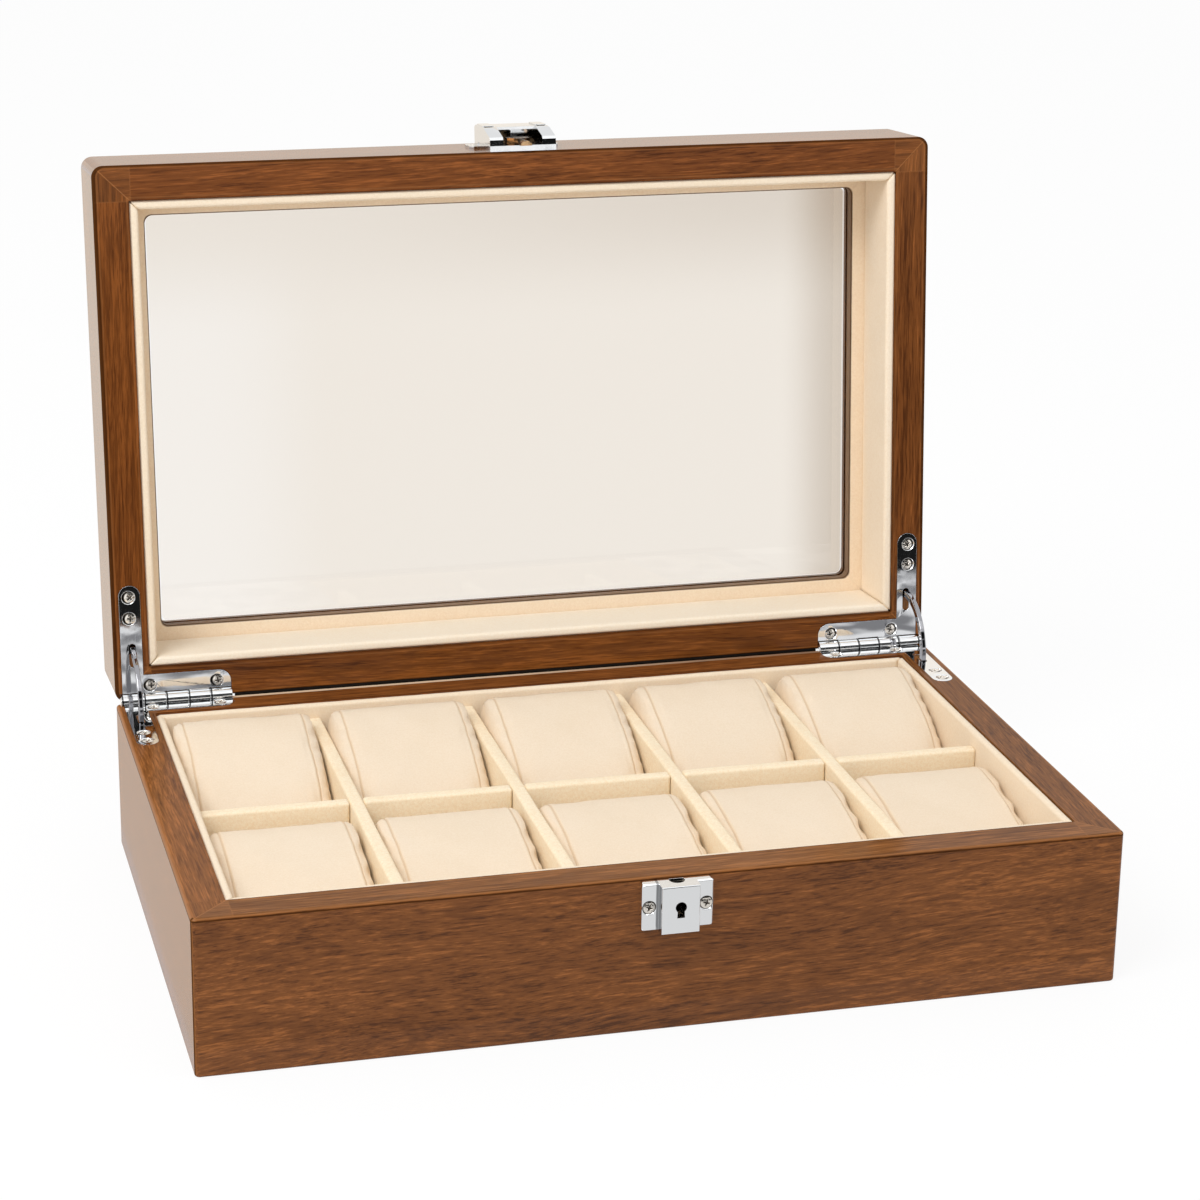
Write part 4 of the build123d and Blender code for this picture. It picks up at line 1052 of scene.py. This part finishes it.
def screw_head(length, spin):
    """A raised head with a cross recess, its rim at height 0, closed underneath by its shank.

    The dome is rise * (1 - (r / R)^2), and each arm of the cross is cut by a depth that falls off
    across its width and towards its tip.
    """
    turns = np.linspace(0, 2 * math.pi, HEAD_SIDES, endpoint=False)
    radii = HEAD_R * np.linspace(0.03, 1, HEAD_RINGS) ** 0.8
    r, angle = np.meshgrid(radii, turns, indexing="ij")
    x, y = r * np.cos(angle), r * np.sin(angle)

    def arm(along, across):
        tip = np.clip((RECESS_REACH - np.abs(along)) / RECESS_SOFT, 0, 1)
        side = np.clip((RECESS_HALF_W - np.abs(across)) / RECESS_SOFT + 0.5, 0, 1)
        return tip * side * (1 - 0.45 * np.abs(along) / RECESS_REACH)

    depth = RECESS_DEPTH * np.maximum(arm(x, y), arm(y, x))
    z = HEAD_RISE * (1 - (r / HEAD_R) ** 2) - HEAD_EDGE - depth
    under = np.array([(HEAD_R, -0.35 * MM), (RING_R, -0.37 * MM), (RING_R, -0.45 * MM),
                      (SHANK_R, -1.5 * MM), (SHANK_R, -length), (0.02 * MM, -length)])
    cos, sin = np.cos(turns), np.sin(turns)
    levels = np.repeat(under[:, 1:], HEAD_SIDES, axis=1)
    below = np.stack([under[:, :1] * cos, under[:, :1] * sin, levels], -1)
    points = np.concatenate([np.stack([x, y, z], -1), below])
    c, s = math.cos(spin), math.sin(spin)
    turned = points.copy()
    turned[..., 0] = c * points[..., 0] - s * points[..., 1]
    turned[..., 1] = s * points[..., 0] + c * points[..., 1]
    # Painted shade, with some grime, in the cross, at the head's edge and all round its underside.
    shade_and_dirt = np.maximum(1.5 * depth / RECESS_DEPTH - 0.3, (r / HEAD_R - 0.90) / 0.08)
    shade_and_grime = np.concatenate([np.clip(shade_and_dirt, 0, 0.85), np.ones((len(under), HEAD_SIDES))])
    return turned.reshape(-1, 3), ring_faces(len(turned), HEAD_SIDES), shade_and_grime.ravel()


def opened(points):
    """Turn places on the shut lid about the hinge axis to where the open lid stands."""
    turned = points.copy()
    y, z = points[..., 1] - HINGE_Y, points[..., 2] - HINGE_Z
    turned[..., 1] = HINGE_Y + y * math.cos(OPEN_ANGLE) + z * math.sin(OPEN_ANGLE)
    turned[..., 2] = HINGE_Z - y * math.sin(OPEN_ANGLE) + z * math.cos(OPEN_ANGLE)
    return turned


def facing(points, way):
    """Turn a head that faces up so that it faces down or to the front."""
    x, y, z = points[:, 0], points[:, 1], points[:, 2]
    if way == "up":
        return points
    if way == "down":
        return np.stack([x, -y, -z], -1)
    return np.stack([x, -z, y], -1)


def screws(name, node, places, way, length, on_lid, seed):
    """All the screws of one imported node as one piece, each cross turned its own way."""
    spins = np.random.default_rng(seed).uniform(0, math.pi / 2, len(places))
    points, faces, shades_and_grimes, count = [], [], [], 0
    for place, spin in zip(places, spins):
        head, quads, shade_and_grime = screw_head(length, spin)
        shades_and_grimes.append(shade_and_grime)
        head = facing(head, way) + np.array(place)
        points.append(opened(head) if on_lid else head)
        faces += [[index + count for index in face] for face in quads]
        count += len(head)
    piece = add_piece(name, np.concatenate(points), faces, screw_nickel, "lid" if on_lid else "base",
                      [node])
    mark_painted_shade(piece.data, np.concatenate(shades_and_grimes))


def leaf_places(height):
    return [(side * (HALF_W - u * MM), HALF_D - v * MM, height)
            for side in (-1, 1) for u, v in LEAF_SCREWS]


def front_places(x, out, z):
    return [(side * x * MM, -HALF_D - out * MM, z * MM) for side in (-1, 1)]


lid_rim = 2 * HINGE_Z - BASE_H
screws("base_leaf_screws", "base_hinge_screws", leaf_places(BASE_H), "up", SHORT_SCREW, False, 3)
screws("lid_leaf_screws", "lid_hinge_screws", leaf_places(lid_rim), "down", SHORT_SCREW, True, 4)
screws("lock_plate_screws", "lock_screws", front_places(*LOCK_SCREW), "front", LONG_SCREW, False, 5)
screws("catch_plate_screws", "catch_screws", front_places(*CATCH_SCREW), "front", SHORT_SCREW, True, 6)


# The window is a flat pane that lies on the rails' inner lip, held by four brown-stained glazing
# strips. They show as a narrow brown edge between the suede and the glass.
WINDOW_EDGE = 21.3 * MM
WINDOW_R = 3.0 * MM
GLASS_CLEAR, GLASS_PAINTED_LIGHT = (0.925, 0.871, 0.800, 1), (0.975, 0.945, 0.905, 1)
GLASS_PAINTED_SHADE, GLASS_PAINTED_HIGHLIGHT = (0.445, 0.342, 0.246, 1), (1, 1, 1, 1)
GLASS_TOP_W, GLASS_PAINTED_LIGHT_SHARE = 50 * MM, (0, 0.16, 0.75, 0.0)
GLASS_RIGHT = (49 * MM, 25 * MM)
EDGE_LINE_IN, EDGE_LINE_W = 0.5 * MM, 0.45 * MM
STAIN_DARK, STAIN_LIGHT = (0.20, 0.112, 0.055, 1), (0.30, 0.175, 0.090, 1)


def window_glass():
    """Clear glass with a faint warm tint, with painted shade and reflection towards the top and along
    the right edge, painted light along the left side below the top, and a painted highlight line just
    inside the window's rounded edge.
    """
    material, tree, shader = new_material(
        "window_glass", Roughness=0.0, IOR=1.45, Metallic=0.0, Transmission_Weight=1.0)
    place = turn_to_shut(tree, place_on(tree))
    parts = add(tree, "ShaderNodeSeparateXYZ", {0: place})
    across = rescale(tree, parts.outputs["X"], -HALF_W + WINDOW_EDGE, HALF_W - WINDOW_EDGE)
    top = -HALF_D + WINDOW_EDGE
    upper = rescale(tree, parts.outputs["Y"], top, top + GLASS_TOP_W, 1.0, 0.0)
    right_edge = rescale(tree, parts.outputs["X"], *(HALF_W - inward for inward in GLASS_RIGHT))
    # Painted shade and reflection: deeper towards the top and along the right edge.
    share = times(tree, upper, calculate(tree, "MULTIPLY_ADD", across, 0.22, 0.08))
    share = calculate(tree, "ADD", calculate(tree, "MULTIPLY_ADD", right_edge, 0.45, 0.05), share)
    legs = []
    for way, half in (("X", HALF_W), ("Y", HALF_D)):
        past = calculate(tree, "ABSOLUTE", parts.outputs[way])
        past = minus(tree, past, half - WINDOW_EDGE - WINDOW_R)
        legs.append(larger(tree, past, 0))
    # A painted highlight line just inside the window's rounded edge.
    shine = line_mask(tree, slant_of(tree, *legs), WINDOW_R - EDGE_LINE_IN, EDGE_LINE_W)
    # Painted light along the left side, below the top.
    left = times(tree, rescale(tree, across, *GLASS_PAINTED_LIGHT_SHARE),
                 minus(tree, 1, upper))
    clear = blend_colours(tree, left, GLASS_CLEAR, GLASS_PAINTED_LIGHT)
    colour = blend_colours(tree, share, clear, GLASS_PAINTED_SHADE)
    colour = blend_colours(tree, shine, colour, GLASS_PAINTED_HIGHLIGHT)
    feed(tree, shader, Base_Color=colour)
    return material


def stained_strip():
    """Brown stain over fine grain, duller where it is darker."""
    material, tree, shader = new_material("stained_strip", Specular_IOR_Level=0.3)
    place = turn_to_shut(tree, place_on(tree))
    fibres = noise(tree, place, (300, 300, 2400), 2.0)
    colour = blend_colours(tree, fibres, STAIN_DARK, STAIN_LIGHT)
    feed(tree, shader, Base_Color=colour, Roughness=rescale(tree, fibres, 0.3, 0.7, 0.6, 0.45))
    add_bump(tree, shader, fibres, 0.03 * MM)
    return material


dress("lid_glass", window_glass())
dress("lid_glazing_bead", stained_strip())


# Suede-wrapped strips of card make the ledge round the window, folded over at their mitres, and
# four suede-wrapped boards line the lid's rails from the ledge to just short of the rim.
CARD_EDGE_R = 0.55 * MM
CARD_OUTER_R = 0.2 * MM
LEDGE_W = 8.6 * MM
CARD_SIDE_STEPS, CARD_CORNER_STEPS, CARD_FLAT_STEPS = 90, 9, 12
FOLD_DEPTH = 0.30 * MM
FOLD_W = 0.45 * MM
CARD_WAVE, CARD_WAVE_H = 37 * MM, 0.08 * MM
LID_PADDING = 0.12 * MM
# The ledge's suede is a darker copy of the lining's, for painted shade, with a painted shadow line
# along its inner edge.
SHADED_LEDGE_LIGHT, SHADED_LEDGE_DARK = (0.920, 0.770, 0.590, 1), (0.870, 0.700, 0.510, 1)
LEDGE_SHADOW_LINE = (0.10, 0.05, 0.022, 1)
# Lighter copies of the lining's suede for the lid's lower and right walls: painted light.
LIT_LOWER_LIGHT, LIT_LOWER_DARK = (0.960, 0.860, 0.715, 1), (0.925, 0.800, 0.630, 1)
LIT_RIGHT_LIGHT, LIT_RIGHT_DARK = (0.960, 0.830, 0.665, 1), (0.920, 0.770, 0.590, 1)


def shut_places(places):
    """Turn places on the open lid back to where they are on the shut lid."""
    back = places.copy()
    y, z = places[:, 1] - HINGE_Y, places[:, 2] - HINGE_Z
    back[:, 1] = HINGE_Y + y * math.cos(OPEN_ANGLE) - z * math.sin(OPEN_ANGLE)
    back[:, 2] = HINGE_Z + y * math.sin(OPEN_ANGLE) + z * math.cos(OPEN_ANGLE)
    return back


def shut_box(node):
    """Lowest and highest corner of one of the lid's nodes when the lid is shut."""
    back = shut_places(places_of(frame["nodes"][node].data))
    return back.min(0), back.max(0)


def rounded_rectangle(half_w, half_d, radius, per_side, per_corner):
    """Points round a rectangle with rounded corners, the same count on every side and corner."""
    angles = np.linspace(0, math.pi / 2, per_corner)
    loops = []
    for quarter, (sx, sy) in enumerate(((1, 1), (-1, 1), (-1, -1), (1, -1))):
        turn = angles + quarter * math.pi / 2
        cx, cy = sx * (half_w - radius), sy * (half_d - radius)
        loops.append(np.stack([cx + radius * np.cos(turn), cy + radius * np.sin(turn)], -1))
    path = []
    for quarter in range(4):
        start, end = loops[quarter][-1], loops[(quarter + 1) % 4][0]
        steps = np.linspace(0, 1, per_side + 1)[1:-1, None]
        path += [loops[quarter], start + (end - start) * steps]
    return np.concatenate(path)


def ledge_card():
    """A flat ring: the section of a rounded strip, carried round the window.

    place = outer * (1 - share) + inner * share, where share goes over the top of the strip, round
    its inner edge and back underneath. Each mitre is a fold, pressed in by a narrow bell curve.
    """
    low, high = shut_box("lid_ledge_card")
    inner_half = np.array(shut_box("lid_glazing_bead")[1][:2]) - LEDGE_W
    outer, inner = (rounded_rectangle(*half[:2], radius, CARD_SIDE_STEPS, CARD_CORNER_STEPS)
                    for half, radius in ((high, CARD_OUTER_R), (inner_half, WINDOW_R)))
    edge = CARD_EDGE_R / (high[0] - inner_half[0])
    turn = np.linspace(-math.pi / 2, math.pi / 2, 9)[1:-1]
    flat = np.linspace(0, 1 - edge, CARD_FLAT_STEPS)
    share = np.concatenate([flat, 1 - edge * (1 - np.cos(turn)), flat[::-1]])
    thick = high[2] - low[2]
    level = np.concatenate([np.full(CARD_FLAT_STEPS, low[2]),
                            (low[2] + high[2]) / 2 + thick / 2 * np.sin(turn),
                            np.full(CARD_FLAT_STEPS, high[2])])
    points = np.empty((len(share), len(outer), 3))
    points[..., :2] = outer[None] * (1 - share)[:, None, None] + inner[None] * share[:, None, None]
    points[..., 2] = level[:, None]
    x, y = np.abs(points[..., 0]), np.abs(points[..., 1])
    across_fold = ((high[0] - x) - (high[1] - y)) / math.sqrt(2)
    shown = np.clip((thick / 2 - (points[..., 2] - low[2])) / (thick / 2), 0, 1)
    points[..., 2] += FOLD_DEPTH * shown * np.exp(-(across_fold / FOLD_W) ** 2)
    slantwise = points[..., 0] + 1.7 * points[..., 1]
    points[..., 2] += shown * CARD_WAVE_H * ripple(slantwise, CARD_WAVE, 51)
    grid = np.arange(points.shape[0] * points.shape[1]).reshape(points.shape[:2])
    ahead = np.roll(grid, -1, axis=1)
    above, ahead_above = np.roll(grid, -1, axis=0), np.roll(ahead, -1, axis=0)
    quads = np.stack([grid, above, ahead_above, ahead], -1).reshape(-1, 4)
    # A painted shadow line along the card's inner edge.
    shadow_line = np.clip((share[:, None] - 1 + 0.9 * edge) / (0.4 * edge), 0, 1)
    return opened(points.reshape(-1, 3)), quads, (shadow_line * np.ones(points.shape[:2])).ravel()


shaded_ledge_suede = napped("suede_ledge", SHADED_LEDGE_LIGHT, SHADED_LEDGE_DARK, *SUEDE_NAP, LEDGE_SHADOW_LINE)
card_points, card_faces, card_shadow_line = ledge_card()
ledge = add_piece("suede_ledge", card_points, card_faces, shaded_ledge_suede, "lid",
                  ["lid_ledge_card"])
mark_painted_shade(ledge.data, card_shadow_line)
# The lower and right walls get lighter copies of the suede, for painted light.
lid_suedes = {"front": suede, "left": suede,
              "back": napped("suede_lower_painted_light", LIT_LOWER_LIGHT, LIT_LOWER_DARK, *SUEDE_NAP),
              "right": napped("suede_right_painted_light", LIT_RIGHT_LIGHT, LIT_RIGHT_DARK, *SUEDE_NAP)}

for number, (way, across, side) in enumerate(WALL_WAYS):
    node = "lid_liner_" + way
    low, high = shut_box(node)
    points, faces = lining_board(low, high, across, side, LINER_EDGE_R, LID_PADDING, 60 + 10 * number)
    add_piece("lid_lining_" + way, opened(points), faces, lid_suedes[way], "lid",
              [node])


# The lock is a chromed casting: a raised block with a keyhole between two wings, and a half-moon
# hole in its top. Its bolt, spring and back plate are steel and sit inside.
# Painted shade and reflection darken a band where the left wing meets the block's side.
BLOCK_SIDE = -7.0 * MM
CASE_EDGE, BOLT_EDGE = 0.34 * MM, 0.08 * MM
lock_chrome = plated("lock_chrome", CHROME, 0.05, 0.12, 0.01 * MM, corner=BLOCK_SIDE)
nickel = plated("nickel_steel", (0.62, 0.56, 0.47, 1), 0.14, 0.26, 0.01 * MM)
eased("lock_case", "lock_casting", lock_chrome, CASE_EDGE)
eased("lock_bolt", "sliding_bolt", nickel, BOLT_EDGE)
dress("lock_spring", nickel)
dress("lock_back_plate", nickel)


# The catch on the lid's front is a second chromed casting, with sloped arms, a lip and an open
# mouth. The hook in its mouth drops into the lock's half-moon hole when the lid is shut.
LIP_OUT = 2.1 * MM
ARM_OUT = 4.2 * MM
ARM_END = 1.0 * MM
ARM_LEAN = 0.5 * MM
CATCH_EDGE, TONGUE_EDGE = 0.40 * MM, 0.18 * MM
casting_chrome = plated("casting_chrome", (0.70, 0.71, 0.72, 1), 0.06, 0.12, 0.01 * MM)
brass = plated("brass_tongue", (0.78, 0.50, 0.27, 1), 0.10, 0.22, 0.01 * MM)


def lean_ends(mesh):
    """Lean the arms' ends back above the lip, with a crisp fold: lean * (out - lip) / (arm - lip)."""
    start = shut_box("catch_housing")[0][2]
    made = bmesh.new()
    made.from_mesh(mesh)
    cut = opened(np.array([[0, -HALF_D - LIP_OUT, start], [0, -HALF_D - LIP_OUT - MM, start]]))
    whole = made.verts[:] + made.edges[:] + made.faces[:]
    halved = bmesh.ops.bisect_plane(made, geom=whole, plane_co=cut[0], plane_no=cut[1] - cut[0])
    for fold in halved["geom_cut"]:
        if isinstance(fold, bmesh.types.BMEdge):
            fold.smooth = False
    made.to_mesh(mesh)
    made.free()
    shut = shut_places(places_of(mesh))
    out = np.clip((-HALF_D - shut[:, 1] - LIP_OUT) / (ARM_OUT - LIP_OUT), 0, 1)
    near = np.clip((start + ARM_END - shut[:, 2]) / ARM_END, 0, 1)
    shut[:, 2] += ARM_LEAN * out * near
    mesh.vertices.foreach_set("co", opened(shut).ravel())
    mesh.update()


eased("catch_housing", "catch_casting", casting_chrome, CATCH_EDGE, lean_ends)
eased("catch_hook", "catch_tongue", brass, TONGUE_EDGE)


# The box stands on a plain white floor that keeps only a faint shadow, in soft even light with a
# large soft lamp high on the left. Cards out of the camera's sight are there for the metal, the
# lacquer and the glass to mirror.
FLOOR_SIZE = 6.0
FLOOR_GLOW, FLOOR_GLOW_SHARE, FLOOR_PAPER = 1.015, 0.88, (0.9, 0.9, 0.9, 1)
WORLD_LIGHT = 0.74
WHITE, BLACK, SHADED = (1, 1, 1, 1), (0.01, 0.01, 0.01, 1), (0.74, 0.74, 0.74, 1)
WARM, CREAM = (1.0, 0.92, 0.82, 1), (1.0, 0.93, 0.84, 1)
SMOKE_DARK, SMOKE_LIGHT = (0.22, 0.22, 0.23, 1), (0.80, 0.80, 0.81, 1)
FADE_Y = (-0.36, -0.25)
SMOKE_SCALE, SMOKE_EDGES = (45, 30, 1), (0.40, 0.62)
KEY_PLACE, KEY_AIM = (-0.9, -0.7, 1.5), (0, 0, 0.05)
KEY_SIZE, KEY_POWER = 0.9, 15.5


def empty_material(name):
    material = bpy.data.materials.new(name)
    material.use_nodes = True
    material.node_tree.nodes.clear()
    return material, material.node_tree


def seen_or_mirrored(tree):
    """1 for the camera and for what metal, lacquer and glass show, 0 for light on the object."""
    light = add(tree, "ShaderNodeLightPath")
    seen = larger(tree, light.outputs["Is Camera Ray"], light.outputs["Is Glossy Ray"])
    return larger(tree, seen, light.outputs["Is Transmission Ray"])


def white_floor():
    """White for the camera, mirrors and glass, with a share of plain diffuse white for the shadow."""
    material, tree = empty_material("floor_white")
    paper = add(tree, "ShaderNodeBsdfDiffuse", {"Color": FLOOR_PAPER})
    glow = add(tree, "ShaderNodeEmission", {"Color": WHITE, "Strength": FLOOR_GLOW})
    share = times(tree, seen_or_mirrored(tree), FLOOR_GLOW_SHARE)
    mixed = add(tree, "ShaderNodeMixShader", {0: share, 1: paper.outputs[0], 2: glow.outputs[0]})
    add(tree, "ShaderNodeOutputMaterial", {"Surface": mixed.outputs[0]})
    return material


def flat_sheet(name, corners, material):
    """A flat four-cornered sheet that only sets the scene."""
    mesh = bpy.data.meshes.new(name)
    mesh.from_pydata(corners, [], [(0, 1, 2, 3)])
    mesh.materials.append(material)
    sheet = bring_in(name, mesh)
    return sheet


def level_sheet(left, right, front, back, height):
    return [(left, front, height), (right, front, height), (right, back, height), (left, back, height)]


def upright_sheet(left, right, y, low, high):
    return [(left, y, low), (right, y, low), (right, y, high), (left, y, high)]


reach = FLOOR_SIZE / 2
flat_sheet("floor", level_sheet(-reach, reach, -reach, reach, 0), white_floor())


def mirror_card(name, corners, near=BLACK, far=None, cloudy=False):
    """A card that only mirrors and lacquer see, fading from one colour to another along Y.

    A cloudy card changes between the two colours in soft clouds, and shows from above only.
    """
    material, tree = empty_material(name)
    glow = add(tree, "ShaderNodeEmission", {"Color": near})
    place = place_on(tree)
    surface = glow.outputs[0]
    if cloudy:
        clouds = rescale(tree, noise(tree, place, SMOKE_SCALE, 1.0), *SMOKE_EDGES)
        feed(tree, glow, Color=blend_colours(tree, clouds, near, far))
        under = add(tree, "ShaderNodeNewGeometry").outputs["Backfacing"]
        clear = add(tree, "ShaderNodeBsdfTransparent").outputs[0]
        surface = add(tree, "ShaderNodeMixShader", {0: under, 1: surface, 2: clear}).outputs[0]
    elif far:
        faded = rescale(tree, part_of(tree, place, "Y"), *FADE_Y)
        feed(tree, glow, Color=blend_colours(tree, faded, near, far))
    add(tree, "ShaderNodeOutputMaterial", {"Surface": surface})
    card = flat_sheet(name, corners, material)
    for rays in ("camera", "diffuse", "shadow", "transmission"):
        setattr(card, "visible_" + rays, False)


mirror_card("card_front", level_sheet(-0.35, 1.2, -2.2, -0.115, 0.002), far=SHADED)
mirror_card("card_low", upright_sheet(-0.6, 1.6, -2.2, 0.0, 0.20))
mirror_card("card_upright", upright_sheet(-0.6, 1.6, -2.2, 0.34, 1.1))
mirror_card("card_warm", level_sheet(-1.2, -0.162, -0.3, 1.6, 0.0015), WARM)
mirror_card("card_high", level_sheet(-1.5, 1.5, -2.0, -1.05, 1.05))
mirror_card("card_white", level_sheet(-0.4, 1.2, -0.95, -0.45, 1.2), (1.4, 1.4, 1.4, 1))
mirror_card("card_lip", upright_sheet(-0.6, 1.6, -2.21, 0.18, 0.36), (1.3, 1.3, 1.3, 1))
mirror_card("card_back", upright_sheet(-1.2, 2.6, 3.0, 0.0, 1.2), CREAM)
for side, left, right in (("left", -0.165, -0.045), ("right", 0.105, 0.24)):
    mirror_card("card_smoke_" + side, level_sheet(left, right, -0.090, 0.094, BASE_H + 0.4 * MM),
                SMOKE_DARK, SMOKE_LIGHT, cloudy=True)

world = bpy.data.worlds.new("studio")
bpy.context.scene.world = world
world.use_nodes = True
world_tree = world.node_tree
background = world_tree.nodes["Background"]
background.inputs["Color"].default_value = WHITE
level = rescale(world_tree, seen_or_mirrored(world_tree), 0, 1, WORLD_LIGHT, 1.0)
feed(world_tree, background, Strength=level)


def looking(place, aim):
    """The turn that points a lamp or a camera at one place from another."""
    return (Vector(aim) - Vector(place)).to_track_quat("-Z", "Y")


lamp = bpy.data.lights.new("key", "AREA")
lamp.shape, lamp.size, lamp.energy = "SQUARE", KEY_SIZE, KEY_POWER
key = bring_in("key", lamp)
key.location = KEY_PLACE
key.rotation_euler = looking(KEY_PLACE, KEY_AIM).to_euler()


# The camera stands where the photographer's did, worked out from the corners of the case: a long
# lens from the front left, looking slightly down, tilted by less than a degree.
CAMERA_PLACE = (-0.27906, -1.03369, 0.48027)
CAMERA_AIM = (0.0, 0.0004, 0.1183)
CAMERA_ROLL = math.radians(0.849)
LENS_MM, SENSOR_MM = 96.424, 36.0
camera_data = bpy.data.cameras.new("camera")
camera_data.lens, camera_data.sensor_width = LENS_MM, SENSOR_MM
camera_data.clip_start, camera_data.clip_end = 0.05, 20
camera = bring_in("camera", camera_data)
camera.location = CAMERA_PLACE
look = looking(CAMERA_PLACE, CAMERA_AIM).to_matrix()
camera.rotation_euler = (look @ Matrix.Rotation(CAMERA_ROLL, 3, "Z")).to_euler()
bpy.context.scene.camera = camera
bpy.context.scene.view_settings.view_transform = "Standard"
